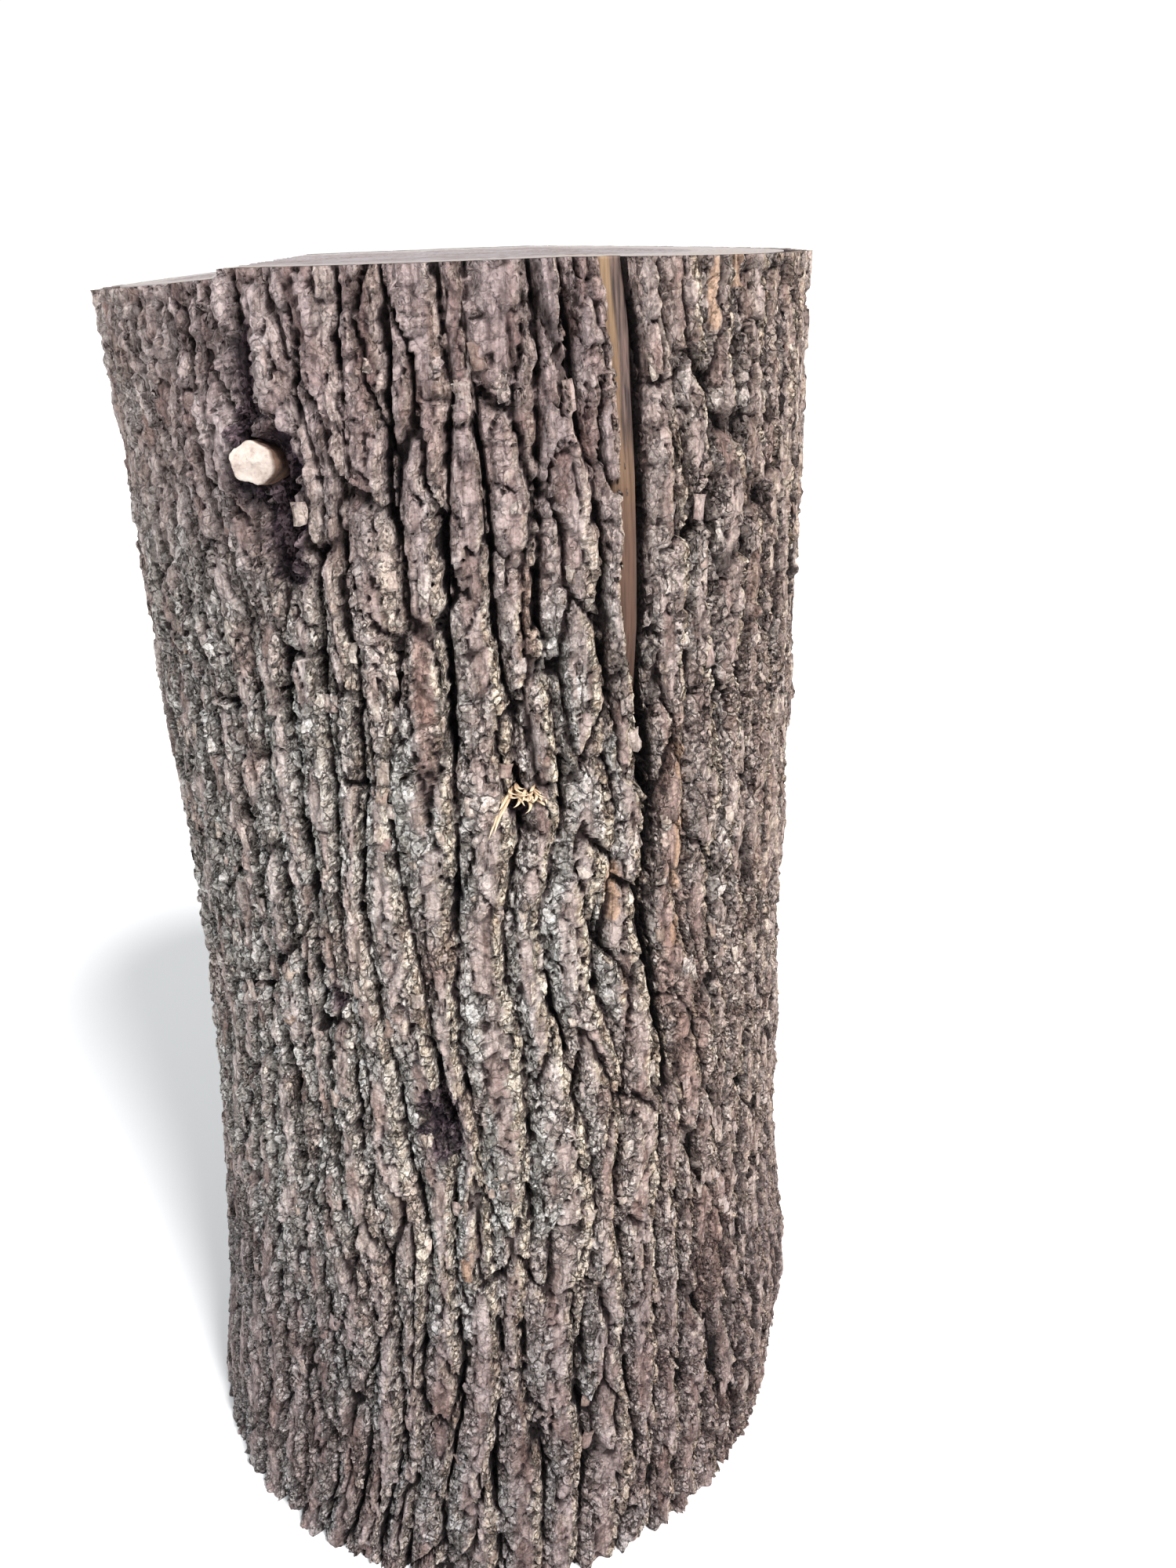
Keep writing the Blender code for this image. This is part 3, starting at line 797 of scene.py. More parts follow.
def chips_group():
    """Chips of cork about 8 mm across on Object coordinates, a little taller than wide, each tilted
    its own way, with thin cracks between. Height is in metres."""
    group = bpy.data.node_groups.new("cork_chips", "ShaderNodeTree")
    warp = noise_at(group, object_place(group), 150.0, 2.0)["Color"]
    bend = {0: warp, 1: (0.007, 0.007, 0.007), 2: object_place(group, (1.0, 1.0, 0.72))}
    bent = node(group, "ShaderNodeVectorMath", bend, operation="MULTIPLY_ADD").outputs[0]
    own, tilt = tilted_cells(group, bent, 125.0)
    edge = node(group, "ShaderNodeTexVoronoi", {"Vector": bent, "Scale": 125.0}, feature="DISTANCE_TO_EDGE")
    cracks = step_up(group, edge.outputs["Distance"], 0.075, 0.03)
    height = weighted(group, (tilt, 1.0), (own[0], 0.0014), (cracks, -0.0014))
    return put_out(group, {"Cell": own[1], "Cracks": cracks, "Height": height})


def grit_group():
    """Cork grit on Object coordinates: cells about 2 mm across that are tilted at random, noise finer
    still, its thin layers drawn out sideways, and streaks drawn out upwards. Height is in metres."""
    group = bpy.data.node_groups.new("cork_grit", "ShaderNodeTree")
    place = object_place(group)
    own, tilt = tilted_cells(group, place, 560.0)
    grain = noise_at(group, place, 560.0, 4.0, 0.8)["Fac"]
    layers = noise_at(group, object_place(group, (0.30, 0.30, 1.3)), 420.0, 2.0)["Fac"]
    streaks = noise_at(group, object_place(group, (1.0, 1.0, 0.14)), 330.0, 2.0)["Fac"]
    height = weighted(group, (tilt, 2.8), (own[0], 0.0011), (grain, 0.0010))
    return put_out(
        group, {"Cell": own[1], "Grain": grain, "Layers": layers, "Streaks": streaks, "Height": height}
    )


def cork_colour(tree, patch, bits, plate, crumbly, left, lichen):
    """Smooth plates in taupe, mauve and brown, and crumbs in grey, or grey-green under lichen and, as
    painted cool light, on the ridges' left flanks.
    """
    plates = ramp(
        tree,
        weighted(tree, (patch, 0.55), (plate, 0.45)),
        (0.28, 120, 97, 91),
        (0.38, 152, 132, 125),
        (0.50, 176, 159, 153),
        (0.62, 162, 148, 143),
        (0.74, 194, 180, 174),
    )
    crumbs = ramp(
        tree,
        bits,
        (0.15, 124, 104, 96),
        (0.34, 158, 140, 132),
        (0.52, 180, 164, 156),
        (0.68, 200, 186, 177),
        (0.85, 228, 218, 208),
    )
    mossy = ramp(tree, bits, (0.20, 130, 127, 119), (0.50, 170, 168, 162), (0.80, 212, 211, 207))
    # Grey-green for lichen, and as painted cool light on the ridges' left flanks.
    crumbs = mix(tree, weighted(tree, (lichen, 0.75), (left, 0.25)), crumbs, mossy)
    return mix(tree, crumbly, plates, crumbs)


def darkened_top_and_foot(tree, colour):
    """Darkens the bark at the upper middle of the front, and towards the foot."""
    level_at = node(tree, "ShaderNodeSeparateXYZ", {0: object_place(tree)}).outputs
    upper_front = times(tree, step_up(tree, level_at["Z"], 0.70, 0.86), step_up(tree, level_at["X"], 0.13, 0.09))
    upper_front = times(tree, upper_front, step_up(tree, level_at["X"], -0.17, -0.09))
    colour = mix(tree, upper_front, colour, (0.82, 0.785, 0.82), "MULTIPLY")
    return mix(tree, step_up(tree, level_at["Z"], 0.36, 0.20), colour, (0.73, 0.71, 0.74), "MULTIPLY")


def bark_material(chips_kind, grit_kind):
    """Cork in greys and browns, with a painted cream highlight at the right rims of ridges, red-brown,
    bared and scabbed places, specks and streaks, and painted shade: dark where the bark lies lower than
    round it, near black in the furrows, cracks and deep hollows, and dark purple, partly shade, in the
    shallow hollows and scabs."""
    material, tree, shader = nodes_of("walnut_bark")
    depth, crack, plate, crumbly = carried(tree, "form")
    fresh, lichen, rim, pit = carried(tree, "tint")
    proud, bead, left, reddish = carried(tree, "light")
    chips = node(tree, "ShaderNodeGroup", node_tree=chips_kind).outputs
    grit = node(tree, "ShaderNodeGroup", node_tree=grit_kind).outputs
    patch = noise_at(tree, object_place(tree), 34.0, 5.0, 0.62)["Fac"]
    bits = weighted(tree, (grit["Cell"], 0.33), (bead, 0.32), (chips["Cell"], 0.35))
    unbared = weighted(tree, (fresh, -0.8), plus=1.0)

    colour = cork_colour(tree, patch, bits, plate, crumbly, left, lichen)
    fringe = weighted(tree, (grit["Layers"], 0.65), (bits, 0.35))
    # A painted cream highlight on the right rims of ridges.
    straw = ramp(tree, fringe, (0.34, 132, 110, 90), (0.44, 206, 188, 162), (0.58, 240, 228, 206))
    colour = mix(tree, times(tree, rim, 0.95), colour, straw)
    red = ramp(tree, bits, (0.20, 92, 64, 56), (0.50, 136, 104, 92), (0.80, 172, 140, 124))
    colour = mix(tree, times(tree, reddish, 0.54), colour, red)
    bared = ramp(tree, patch, (0.35, 156, 126, 104), (0.65, 188, 158, 134))
    colour = mix(tree, times(tree, fresh, 0.85), colour, bared)
    specks = ((0.36, 0.30, 0.26, 0.26), (0.46, 0.96, 0.95, 0.96), (0.62, 1.26, 1.25, 1.26))
    speckle = ramp(tree, grit["Grain"], *specks, screen=False)
    colour = mix(tree, weighted(tree, (crumbly, 0.45), plus=0.40), colour, speckle, "MULTIPLY")
    colour = darkened_top_and_foot(tree, colour)
    lines = ((0.38, 0.55, 0.52, 0.51), (0.50, 1.0, 1.0, 1.0), (0.64, 1.12, 1.12, 1.12))
    streaks = ramp(tree, grit["Streaks"], *lines, screen=False)
    colour = mix(tree, weighted(tree, (crumbly, -0.30), plus=0.90), colour, streaks, "MULTIPLY")
    # Painted shade where the bark lies lower than what is round it.
    colour = mix(tree, times(tree, step_up(tree, proud, 0.50, 0.14), 0.90), colour, linear(52, 38, 38))
    # Painted shade: near black in the chips' cracks, the furrows' slots, the cross cracks, the grooves, the
    # shaded walls and the black places.
    painted_shade = times(tree, chips["Cracks"], weighted(tree, (crumbly, 0.55), plus=0.20))
    painted_shade = times(tree, sums(tree, "MAXIMUM", painted_shade, times(tree, crack, 0.96)), unbared)
    colour = mix(tree, painted_shade, colour, linear(32, 22, 22))
    # Painted shade: near black where the bark lies deepest.
    torn = weighted(tree, (depth, 1.0), (patch, 0.20), (bits, 0.30))
    colour = mix(tree, step_up(tree, torn, 0.80, 0.96), colour, linear(26, 18, 19))
    # Dark purple in the shallow hollows and scabs: a dark scab colour that is partly painted shade.
    scab_and_painted_shade = ramp(tree, bits, (0.25, 30, 22, 30), (0.52, 58, 45, 53), (0.78, 124, 106, 112))
    colour = mix(tree, times(tree, pit, 0.90), colour, scab_and_painted_shade)

    gritty = times(tree, grit["Height"], weighted(tree, (crumbly, 0.70), plus=0.30))
    chipped = times(tree, weighted(tree, (crumbly, 0.80), plus=0.20), unbared)
    chipped = times(tree, chips["Height"], chipped)
    layered = times(tree, grit["Layers"], rim)
    relief = weighted(tree, (gritty, 1.0), (chipped, 1.0), (grit["Streaks"], 0.0012), (layered, 0.0018))
    bump = dress(tree, shader, colour, 0.93, relief)
    facets = tree.nodes.new("ShaderNodeNewGeometry")
    tree.links.new(facets.outputs["True Normal"], bump.inputs["Normal"])
    shader.inputs["Specular IOR Level"].default_value = 0.25
    return material


walnut_bark = bark_material(chips_group(), grit_group())
skins = []  # each sector's surface and depth, which the loose flakes are laid on
for number in range(SECTORS):
    finished(bark_sector(number), walnut_bark)

# Loose flakes.
# Thin flakes of the outer bark that have lifted at their lower end and still hang by the upper one,
# scattered over the ridges.
FLAKES = 1100
FLAKE_WIDTH = (0.0022, 0.0050)
FLAKE_LENGTH = (0.005, 0.015)
FLAKE_THICKNESS = 0.0008
FLAKE_LIFT = (0.0002, 0.0012)
FLAKE_SUNK = 0.0012  # how far a flake's upper end is sunk into the bark
FLAKE_CREST = 0.0055  # flakes hang only where the bark lies less deep than this
FLAKE_MESH = (4, 3)  # points down a flake and across it
FLAKE_TRIES = 8  # places drawn for each flake that is wanted
FLAKE_MARGIN = (20, 2)  # rows and columns at a sector's edges that hold no flakes


def closed(numbers):
    """An array with its first column once more at its end."""
    return np.hstack([numbers, numbers[:, :1]])


def slab_quads(rows, columns):
    """The quads of a slab: a grid for its face, one for its back, and the wall round their edges."""
    numbers = np.arange(2 * rows * columns).reshape(2, rows, columns)
    sides = [numbers[:, 0, :], numbers[:, 1:, -1], numbers[:, -1, -2::-1], numbers[:, -2:0:-1, 0]]
    wall = closed(np.concatenate(sides, 1))
    quads = [grid_quads(numbers[0]), grid_quads(numbers[1])[:, ::-1], grid_quads(wall)[:, ::-1]]
    return np.concatenate(quads)


def repeated(faces, size, count):
    """The faces of one shape with so many points, numbered again for each of its copies."""
    return (faces[None] + size * np.arange(count)[:, None, None]).reshape(-1, faces.shape[1])


def loose_flakes():
    """Each flake is a grid that narrows downwards, lifts off the bark by a power of the way down it
    and bulges across by a square, with a wall of even thickness."""
    draw = np.random.default_rng(SEED + 5)
    places = []
    for skin, depth in skins:
        wanted = round(FLAKES / SECTORS)
        row, column = (
            draw.integers(margin, size - margin, wanted * FLAKE_TRIES)
            for margin, size in zip(FLAKE_MARGIN, skin.shape)
        )
        crest = np.flatnonzero(depth[row, column] < FLAKE_CREST)[:wanted]
        places.append(skin[row[crest], column[crest]])
    place = np.concatenate(places)
    count = len(place)
    out = np.stack([place[:, 0] - trunk_axis(place[:, 2]), place[:, 1], 0.0 * place[:, 2]], -1)
    out /= np.linalg.norm(out, axis=1, keepdims=True)
    down = np.stack([draw.normal(0.0, 0.16, count), draw.normal(0.0, 0.16, count), -np.ones(count)], -1)
    down -= out * np.sum(down * out, axis=1, keepdims=True)
    down /= np.linalg.norm(down, axis=1, keepdims=True)
    side = np.cross(down, out)
    half = draw.uniform(*FLAKE_WIDTH, count)[:, None, None]
    length = draw.uniform(*FLAKE_LENGTH, count)[:, None, None]
    lift = draw.uniform(*FLAKE_LIFT, count)[:, None, None]
    rows, columns = FLAKE_MESH
    along, across = np.meshgrid(np.linspace(0.0, 1.0, rows), np.linspace(-1.0, 1.0, columns), indexing="ij")
    ragged = draw.uniform(-0.22, 0.22, (count, rows, columns))
    width = half * across * (1.0 - 0.25 * along) * (1.0 + ragged)
    reach = length * (along + 0.30 * ragged * along)
    proud = -FLAKE_SUNK + lift * (along**1.5) * 1.6 + 0.25 * half * (1.0 - across**2)
    top = (
        place[:, None, None]
        + side[:, None, None] * width[..., None]
        + down[:, None, None] * reach[..., None]
        + out[:, None, None] * proud[..., None]
    )
    under = top - out[:, None, None] * FLAKE_THICKNESS
    points = np.stack([top, under], 1).reshape(-1, 3)
    size = 2 * rows * columns
    flakes = mesh_of("loose_flakes", points, repeated(slab_quads(rows, columns), size, count))
    tone = np.repeat(draw.uniform(0.0, 1.0, (count, 4)), size, axis=0)
    zero = np.zeros(len(tone))
    carry(flakes, "form", np.stack([zero + 0.08, zero, tone[:, 0], 0.7 * (tone[:, 3] > 0.5)], -1))
    carry(flakes, "tint", np.stack([zero, 0.6 * tone[:, 1], 0.35 * tone[:, 2], zero], -1))
    carry(flakes, "light", np.stack([zero + 0.75, tone[:, 3], zero, zero], -1))
    return flakes


finished(loose_flakes(), walnut_bark)

# The bared wood.
# Where the bark has split and drawn back, a strip of the wood shows, tan at the sawn top and
# browner further down. Its right edge has come away, and the right half of its upper part is
# painted near black as shade.
STRIP_HEIGHTS = (0.688, 0.700, 0.730, 0.770, 0.810, 0.850, 0.880, 0.9135)
STRIP_LEFT = (21.6, 19.8, 18.4, 17.6, 18.4, 18.8, 18.2, 17.2)
STRIP_RIGHT = (22.8, 22.4, 22.2, 22.0, 22.1, 22.1, 22.2, 21.3)
STRIP_DEPTHS = (0.0165, 0.0125, 0.0075, 0.0062, 0.0068, 0.0095, 0.0115, 0.0120)
STRIP_BACK = 0.0225
STRIP_MESH = (161, 25)  # points up the strip and across it


def bared_wood():
    """A slab that follows the split, a little hollow across, with shallow fibres along it."""
    level_at = np.linspace(STRIP_HEIGHTS[0], STRIP_HEIGHTS[-1], STRIP_MESH[0])
    left = np.radians(np.interp(level_at, STRIP_HEIGHTS, STRIP_LEFT))
    right = np.radians(np.interp(level_at, STRIP_HEIGHTS, STRIP_RIGHT))
    share = np.linspace(0.0, 1.0, STRIP_MESH[1])[None, :]
    angle = left[:, None] + share * (right - left)[:, None]
    height = np.repeat(level_at[:, None], STRIP_MESH[1], axis=1)
    fibre = 0.0005 * noise(angle, height, 0.0016, 0.045, 51) + 0.0007 * noise(angle, height, 0.005, 0.09, 52)
    bowl = 0.0016 * (2.0 * share - 1.0) ** 2
    depth = np.interp(height, STRIP_HEIGHTS, STRIP_DEPTHS) + fibre + bowl
    radius = trunk_radius(angle, height)
    face = around_axis(angle, height, radius - depth).reshape(-1, 3)
    back = around_axis(angle, height, radius - STRIP_BACK).reshape(-1, 3)
    strip = mesh_of("bared_wood", np.concatenate([face, back]), slab_quads(*STRIP_MESH))
    edge = np.clip(1.0 - 5.0 * np.minimum(share, 1.0 - share), 0.0, 1.0) + 0.0 * height
    down = (HEIGHT - height) / (HEIGHT - STRIP_HEIGHTS[0])
    # The right half of the upper part, painted near black as shade.
    painted_slit_shade = smooth(0.42, 0.60, share + 0.12 * noise(angle, height, 0.004, 0.03, 53))
    painted_slit_shade = painted_slit_shade * smooth(0.80, 0.85, height)
    front = np.stack([down.ravel(), edge.ravel(), painted_slit_shade.ravel(), np.ones(painted_slit_shade.size)], -1)
    carry(strip, "form", np.concatenate([front, 0.0 * front + (1.0, 1.0, 0.0, 1.0)]))
    return strip


def bared_wood_material():
    """Tan wood that darkens downwards, with long fibres, painted shade at its edges, and near black painted
    shade on the right half of its upper part.
    """
    material, tree, shader = nodes_of("bared_walnut_wood")
    down, edge, painted_slit_shade, _ = carried(tree, "form")
    fibres = noise_at(tree, object_place(tree, (1.0, 1.0, 0.05)), 520.0, 4.0, 0.6)["Fac"]
    patch = noise_at(tree, object_place(tree), 60.0, 4.0)["Fac"]
    ageing = weighted(tree, (down, 1.0), (patch, 0.35), plus=-0.17)
    ages = ((0.05, 142, 116, 88), (0.30, 118, 92, 68), (0.60, 94, 68, 52), (0.95, 70, 46, 36))
    wood = ramp(tree, ageing, *ages)
    lines = ((0.36, 0.62, 0.58, 0.54), (0.52, 1.0, 1.0, 1.0), (0.70, 1.12, 1.12, 1.12))
    wood = mix(tree, 1.0, wood, ramp(tree, fibres, *lines, screen=False), "MULTIPLY")
    # Painted shade at the strip's edges, where it meets the bark.
    wood = mix(tree, times(tree, edge, 0.45), wood, linear(80, 62, 54))
    # Painted shade: near black on the right half of the strip's upper part.
    painted_shade = ramp(tree, fibres, (0.40, 36, 28, 32), (0.60, 104, 84, 78))
    wood = mix(tree, times(tree, painted_slit_shade, 0.9), wood, painted_shade)
    dress(tree, shader, wood, 0.7, fibres, 0.8, 0.0008)
    return material


finished(bared_wood(), bared_wood_material())

# The twig stub.
# A dead twig as thick as a thumb, cut off with two cuts a little proud of the bark, with pale cream
# end grain. It grew from the wood, and its root lies deep in the bark.
STUB_ANGLE = math.radians(-29.3)
STUB_HEIGHT = 0.826
STUB_RADIUS = 0.0106
STUB_ROOT = 0.030
STUB_PROUD = 0.004
STUB_TURN = math.radians(-9.0)
STUB_TILT = 0.16
STUB_MESH = (64, 14, 10)


def twig_stub():
    """A ragged six-sided rod that flares at its root, with an end that slopes two ways from a
    ridge across it."""
    around, along, rings = STUB_MESH
    turn_at = np.linspace(0.0, 2.0 * math.pi, around + 1)[:-1]
    draw = np.random.default_rng(SEED + 6)
    faceted = 1.0 - 0.045 * np.cos(6.0 * turn_at + 0.9) + 0.05 * np.cos(2.0 * turn_at - 0.6)
    faceted = faceted + 0.03 * np.cos(5.0 * turn_at + 1.0) + draw.uniform(-0.02, 0.02, around)
    share = np.linspace(0.0, 1.0, along + 1)[:, None]
    flare = 1.0 + 0.15 * (1.0 - share) ** 2
    side = STUB_RADIUS * faceted[None, :] * flare
    inner = np.linspace(1.0, 0.0, rings + 1)[1:-1, None]
    end = STUB_RADIUS * faceted[None, :] * inner
    u = np.concatenate([side, end]) * np.cos(turn_at)
    v = np.concatenate([side, end]) * np.sin(turn_at)
    depth = -STUB_ROOT + (STUB_ROOT + STUB_PROUD) * share
    cut = np.minimum(0.25 * (v + 0.002) + 0.20 * u, -0.42 * (v - 0.0015) + 0.06 * u)
    cut = np.minimum(cut, 0.0015) + 0.0003 * draw.uniform(-1.0, 1.0, cut.shape)
    w = np.concatenate([depth + 0.0 * side, np.full(end.shape, STUB_PROUD)])
    at_end = np.concatenate([np.clip((share - 0.75) * 4.0, 0.0, 1.0) + 0.0 * side, np.ones(end.shape)])
    w = w + cut * at_end
    out = np.array([math.sin(STUB_TURN), -math.cos(STUB_TURN), STUB_TILT])
    out /= np.linalg.norm(out)
    right = np.array([math.cos(STUB_TURN), math.sin(STUB_TURN), 0.0])
    above = np.cross(right, out)
    base = around_axis(STUB_ANGLE, STUB_HEIGHT, trunk_radius(STUB_ANGLE, STUB_HEIGHT))
    points = base + right * u[..., None] + above * v[..., None] + out * w[..., None]
    rows = points.shape[0]
    numbers = np.arange(rows * around).reshape(rows, around)
    wrapped = closed(numbers)
    middle = rows * around
    points = np.concatenate([points.reshape(-1, 3), [points[-1].mean(0), points[0].mean(0)]])
    fan = np.stack([wrapped[-1, :-1], wrapped[-1, 1:], np.full(around, middle)], -1)
    root = np.stack([wrapped[0, 1:], wrapped[0, :-1], np.full(around, middle + 1)], -1)
    fans = np.concatenate([fan, root])[:, ::-1]
    stub = mesh_of("twig_stub", points, grid_quads(wrapped)[:, ::-1], fans)
    face = np.concatenate([np.zeros(side.size), np.ones(end.size), [1.0, 0.0]])
    rim = np.concatenate([(0.0 * side + smooth(0.86, 1.0, share)).ravel(), 0.0 * end.ravel(), [0.0, 0.0]])
    radial = np.concatenate([0.0 * side.ravel() + 1.0, (end / STUB_RADIUS).ravel(), [0.0, 1.0]])
    carry(stub, "form", np.stack([np.maximum(face, rim), radial, 0.0 * face, 0.0 * face + 1.0], -1))
    return stub


def stub_material():
    """Cream end grain with faint rings, on a brown barked side."""
    material, tree, shader = nodes_of("stub_wood")
    face, radial, _, _ = carried(tree, "form")
    patch = noise_at(tree, object_place(tree), 130.0, 5.0, 0.65)["Fac"]
    ringed = sums(tree, "FRACT", weighted(tree, (patch, 1.0), (radial, 5.0)))
    end = ramp(tree, patch, (0.30, 132, 116, 108), (0.46, 186, 170, 160), (0.65, 206, 194, 184))
    end = mix(tree, times(tree, ringed, 0.14), end, linear(146, 128, 114))
    side = ramp(tree, patch, (0.35, 66, 48, 42), (0.60, 128, 100, 82))
    dress(tree, shader, mix(tree, face, side, end), 0.8, patch, 0.7, 0.0015)
    return material


finished(twig_stub(), stub_material())

# The splinters.
# Torn pale fibres where a small twig was ripped away, the longest hanging down to the left.
SPLINTER_ROOT = (math.radians(3.6), 0.645)
LONG_SPLINTERS = (  # how far a tip lies to the right, up and out, and the thickness
    (-0.0160, -0.0260, 0.005, 0.0016),
    (-0.0130, -0.0225, 0.007, 0.0015),
    (-0.0090, -0.0080, 0.006, 0.0013),
    (-0.0110, -0.0150, 0.006, 0.0013),
)
SHORT_SPLINTERS = 26
CLUMP = (0.008, 0.005)  # how far the short ones' roots scatter, sideways and up
SPLINTER_SUNK = 0.010
SPLINTER_MESH = (5, 7)  # sides, and rows of points along


def splinters():
    """Five-sided spikes from one root, each bent sideways by a parabola, drawn in by the cube of the
    way along it and sharpened to a point."""
    base_angle, base_height = SPLINTER_ROOT
    base = around_axis(base_angle, base_height, trunk_radius(base_angle, base_height) - SPLINTER_SUNK)
    out = np.array([math.sin(base_angle), -math.cos(base_angle), 0.0])
    right = np.array([math.cos(base_angle), math.sin(base_angle), 0.0])
    up = np.array([0.0, 0.0, 1.0])
    sides, rows = SPLINTER_MESH
    share = np.linspace(0.0, 1.0, rows)
    draw = np.random.default_rng(SEED + 7)
    along = draw.uniform(0.003, 0.008, SHORT_SPLINTERS)
    turn = draw.uniform(-2.6, 0.3, SHORT_SPLINTERS)
    tips = np.stack(
        [
            along * np.cos(turn),
            along * np.sin(turn),
            draw.uniform(0.001, 0.006, SHORT_SPLINTERS),
            draw.uniform(0.0008, 0.0016, SHORT_SPLINTERS),
        ],
        -1,
    )
    tips = np.concatenate([np.array(LONG_SPLINTERS), tips])
    count = len(tips)
    bend = draw.uniform(-0.003, 0.003, count)
    spot = draw.uniform(-1.0, 1.0, (count, 2)) * CLUMP
    spot[: len(LONG_SPLINTERS)] = (-0.005, 0.001)
    start = base + right * spot[:, :1] + up * spot[:, 1:]
    reach = right * tips[:, :1] + up * tips[:, 1:2] + out * (tips[:, 2:3] + SPLINTER_SUNK)
    middle = start[:, None] + reach[:, None] * share[None, :, None]
    middle = middle + (right * bend[:, None])[:, None] * (share * (1.0 - share) * 4.0)[None, :, None]
    middle = middle - out * (0.006 * share**3)[None, :, None]
    way = reach / np.linalg.norm(reach, axis=1, keepdims=True)
    first = np.cross(way, up)
    first /= np.linalg.norm(first, axis=1, keepdims=True)
    second = np.cross(way, first)
    turn_at = np.linspace(0.0, 2.0 * math.pi, sides + 1)[:-1]
    thick = tips[:, 3][:, None] * (1.0 - share[None, :] ** 2 * 0.96)
    ring = first[:, None, None] * np.cos(turn_at)[None, None, :, None]
    ring = ring + 0.6 * second[:, None, None] * np.sin(turn_at)[None, None, :, None]
    points = middle[:, :, None] + ring * thick[..., None, None]
    numbers = np.arange(rows * sides).reshape(rows, sides)
    caps = []
    for row, turned_round in ((0, True), (rows - 1, False)):
        ends = np.stack([np.full(3, numbers[row, 0]), numbers[row, 1:4], numbers[row, 2:5]], -1)
        caps.append(ends[:, ::-1] if turned_round else ends)
    size = rows * sides
    quads = repeated(grid_quads(closed(numbers)), size, count)
    triangles = repeated(np.concatenate(caps), size, count)
    made = mesh_of("splinters", points.reshape(-1, 3), quads, triangles)
    along = np.tile(np.repeat(share, sides), count)
    carry(made, "form", np.stack([0.55 + 0.45 * along, 0.0 * along, 0.0 * along, 0.0 * along + 1.0], -1))
    return made


def splinter_material():
    """Straw-coloured torn fibre, browner at the root."""
    material, tree, shader = nodes_of("torn_fibre")
    along = carried(tree, "form")[0]
    patch = noise_at(tree, object_place(tree), 300.0, 3.0)["Fac"]
    tone = weighted(tree, (along, 1.0), (patch, 0.4), plus=-0.2)
    straw = ramp(tree, tone, (0.35, 112, 84, 62), (0.62, 184, 154, 122), (0.92, 218, 196, 166))
    dress(tree, shader, straw, 0.75, patch, 0.5, 0.0006)
    return material


finished(splinters(), splinter_material())

# The sawn wood.
# The wood inside the bark shows at both sawn ends: pale sapwood round weathered grey-brown heart,
# with growth rings, drying checks and the saw's marks. It is one spool-shaped body whose rims rest
# on the bark's ledges.
WOOD_RINGS = 46
WOOD_COLUMNS = 240
RIM_THICKNESS = 0.002
FACE_INSET = 0.0004
WAIST_GAP = 0.0005  # left between the spool's waist and the bark's back
WAIST_INSET = 0.03
CHECKS = ((40.5, 0.10), (151.5, 0.14), (235.5, 0.09), (300.0, 0.12), (94.5, 0.07), (7.5, 0.06))
CHECK_TURN = 39.0  # how far round the top's checks lie from the foot's; both fall on mesh columns
CHECK_DEPTH = 0.005
CHECK_HALF_WIDTH = 0.0011
COARSE_MARKS = (0.00025, 0.0085)  # depth and spacing of the saw's marks
FINE_MARKS = (0.00012, 0.0031)
RINGS_TO_A_METRE = 230.0
SAPWOOD_FROM = (0.170, 0.178)  # the heart gives way to sapwood between these radii


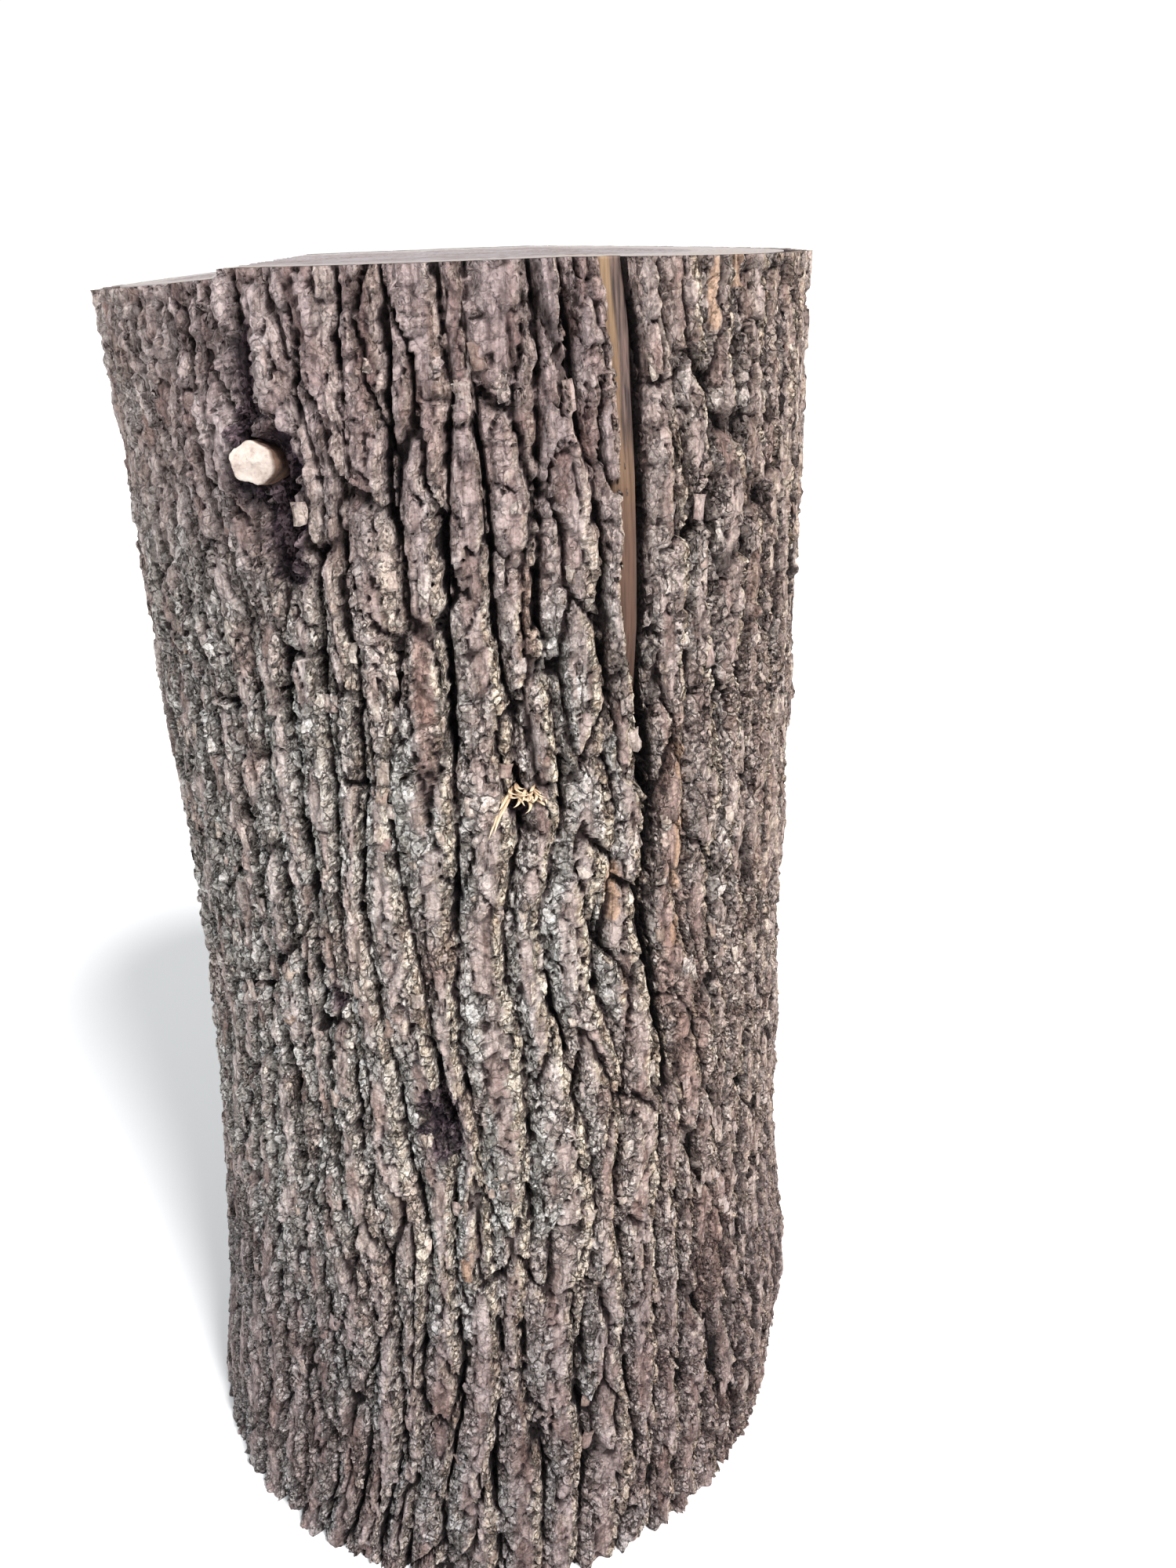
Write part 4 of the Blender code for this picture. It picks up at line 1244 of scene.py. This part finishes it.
def sawn_wood():
    """A spool: two polar grids for the sawn faces, thin rims, and a plain waist between. The saw's
    marks are sine waves, and a check is a Gaussian groove along a radius."""
    angle = np.linspace(0.0, 2.0 * math.pi, WOOD_COLUMNS + 1)[:-1]
    share = np.linspace(0.0, 1.0, WOOD_RINGS + 1)[1:]
    points = []
    quads = []
    triangles = []
    count = 0
    rims = []
    for end in (1.0, 0.0):
        level_at = HEIGHT * end
        outer = trunk_radius(angle, level_at) - BARK_THICKNESS
        radius = share[:, None] * outer[None, :]
        x = trunk_axis(level_at) + radius * np.sin(angle)
        y = -radius * np.cos(angle)
        swept = 0.9 * x + 0.35 * y + 0.6 * y**2
        marks = COARSE_MARKS[0] * np.sin(2.0 * math.pi * swept / COARSE_MARKS[1])
        marks = marks + FINE_MARKS[0] * np.sin(2.0 * math.pi * (x + 0.2 * y) / FINE_MARKS[1])
        check = np.zeros(radius.shape)
        for at, reach in CHECKS:
            off = np.abs(turned(angle[None, :], math.radians(at + CHECK_TURN * end)) * radius)
            along = smooth(0.0, 0.03, radius) * smooth(reach + 0.06, reach, radius)
            check = np.maximum(check, along * np.exp(-((off / CHECK_HALF_WIDTH) ** 2)))
        face = sawn_top(x) if end else 0.0 * x
        sign = 1.0 if end else -1.0
        inset = np.where(share[:, None] < 1.0, FACE_INSET - marks, 0.0)
        z = face - sign * (inset + CHECK_DEPTH * check)
        axis = trunk_axis(level_at)
        points.append([[axis, 0.0, (sawn_top(axis) if end else 0.0) - sign * FACE_INSET]])
        middle = count
        count += 1
        points.append(np.stack([x, y, z], -1).reshape(-1, 3))
        numbers = np.arange(count, count + WOOD_RINGS * WOOD_COLUMNS).reshape(WOOD_RINGS, WOOD_COLUMNS)
        count += WOOD_RINGS * WOOD_COLUMNS
        wrapped = closed(numbers)
        quads.append(grid_quads(wrapped[::-1] if end else wrapped))
        first = wrapped[0]
        fan = np.stack([np.full(WOOD_COLUMNS, middle), first[:-1], first[1:]], -1)
        triangles.append(fan if end else fan[:, ::-1])
        points.append(np.stack([x[-1], y[-1], face[-1] - sign * RIM_THICKNESS], -1))
        waist_radius = outer - (BARK_BACK - BARK_THICKNESS) - WAIST_GAP
        points.append(around_axis(angle, np.full(angle.shape, level_at - sign * WAIST_INSET), waist_radius))
        under_and_waist = np.arange(count, count + 2 * WOOD_COLUMNS).reshape(2, WOOD_COLUMNS)
        rims.append(np.vstack([wrapped[-1:], closed(under_and_waist)]))
        count += 2 * WOOD_COLUMNS
    quads.append(grid_quads(np.vstack([rims[1], rims[0][::-1]])))
    return mesh_of("sawn_wood", np.concatenate(points), np.concatenate(quads), np.concatenate(triangles))


def end_grain_material():
    """End grain: rings by distance from the pith, heart and sapwood by a ragged border, and a grey
    weathered film."""
    material, tree, shader = nodes_of("walnut_end_grain")
    place = object_place(tree)
    flat = {"Vector": place, "Location": (-0.5 * LEAN, 0.0, 0.0), "Scale": (1.0, 1.04, 0.0)}
    centred = node(tree, "ShaderNodeMapping", flat).outputs[0]
    bend = noise_at(tree, centred, 9.0, 3.0)["Fac"]
    length = node(tree, "ShaderNodeVectorMath", {0: centred}, operation="LENGTH").outputs["Value"]
    away = weighted(tree, (length, 1.0), (bend, 0.022))
    ring = step_up(tree, sums(tree, "FRACT", times(tree, away, RINGS_TO_A_METRE)), 0.0, 0.9)
    heart = ramp(tree, ring, (0.0, 132, 114, 102), (0.8, 112, 94, 84), (1.0, 92, 76, 68))
    sapwood = ramp(tree, ring, (0.0, 176, 164, 150), (1.0, 156, 143, 128))
    colour = mix(tree, step_up(tree, away, *SAPWOOD_FROM), heart, sapwood)
    dust = noise_at(tree, place, 30.0, 6.0, 0.7)["Fac"]
    film = times(tree, step_up(tree, dust, 0.15, 0.75), 0.80)
    colour = mix(tree, film, colour, linear(164, 160, 165))
    dress(tree, shader, colour, 0.8, sums(tree, "ADD", ring, dust), 0.6, 0.0006)
    return material


finished(sawn_wood(), end_grain_material())

# The floor and the light.
# A plain pale floor, even light from all round, a broad soft sun from high on the right, and a weak
# cool fill from the left.
FLOOR_SIDE = 60.0
FLOOR_DROP = 0.0005  # keeps it just clear of the log's foot
SKY_STRENGTH = 0.55
BACKDROP_STRENGTH = 1.05
SUN_FROM = Vector((0.55, -0.78, 1.05))
SUN_SOFTNESS = math.radians(15.0)
SUN_POWER = 4.6
SUN_TONE = (1.0, 0.98, 0.98)
FILL_FROM = Vector((-0.85, -0.55, 0.55))
FILL_SOFTNESS = math.radians(40.0)
FILL_POWER = 1.4
FILL_TONE = (0.86, 0.94, 1.0)

square = np.array([[-1, -1, 0], [1, -1, 0], [1, 1, 0], [-1, 1, 0]])
floor = mesh_of("floor", FLOOR_SIDE / 2.0 * square - (0.0, 0.0, FLOOR_DROP), [[0, 1, 2, 3]])
floor_material, _, floor_shader = nodes_of("pale_floor")
floor_shader.inputs["Base Color"].default_value = (0.93, 0.93, 0.93, 1.0)
floor_shader.inputs["Roughness"].default_value = 0.95
floor.data.materials.append(floor_material)

world = bpy.data.worlds.new("studio")
world.use_nodes = True
sky = world.node_tree.nodes["Background"]
sky.inputs["Color"].default_value = (1.0, 1.0, 1.0, 1.0)
seen = world.node_tree.nodes.new("ShaderNodeLightPath")
strength = world.node_tree.nodes.new("ShaderNodeMapRange")
strength.inputs["To Min"].default_value = SKY_STRENGTH
strength.inputs["To Max"].default_value = BACKDROP_STRENGTH
world.node_tree.links.new(seen.outputs["Is Camera Ray"], strength.inputs["Value"])
world.node_tree.links.new(strength.outputs["Result"], sky.inputs["Strength"])
bpy.context.scene.world = world
for name, comes_from, softness, power, tone in (
    ("sun", SUN_FROM, SUN_SOFTNESS, SUN_POWER, SUN_TONE),
    ("fill", FILL_FROM, FILL_SOFTNESS, FILL_POWER, FILL_TONE),
):
    lamp = bpy.data.objects.new(name, bpy.data.lights.new(name, "SUN"))
    lamp.data.energy = power
    lamp.data.angle = softness
    lamp.data.color = tone
    lamp.matrix_world = comes_from.to_track_quat("Z", "Y").to_matrix().to_4x4()
    bpy.context.scene.collection.objects.link(lamp)
bpy.context.scene.view_settings.view_transform = "Standard"


def corners(box):
    """A box as two plain lists of numbers."""
    return [[float(value) for value in corner] for corner in box]
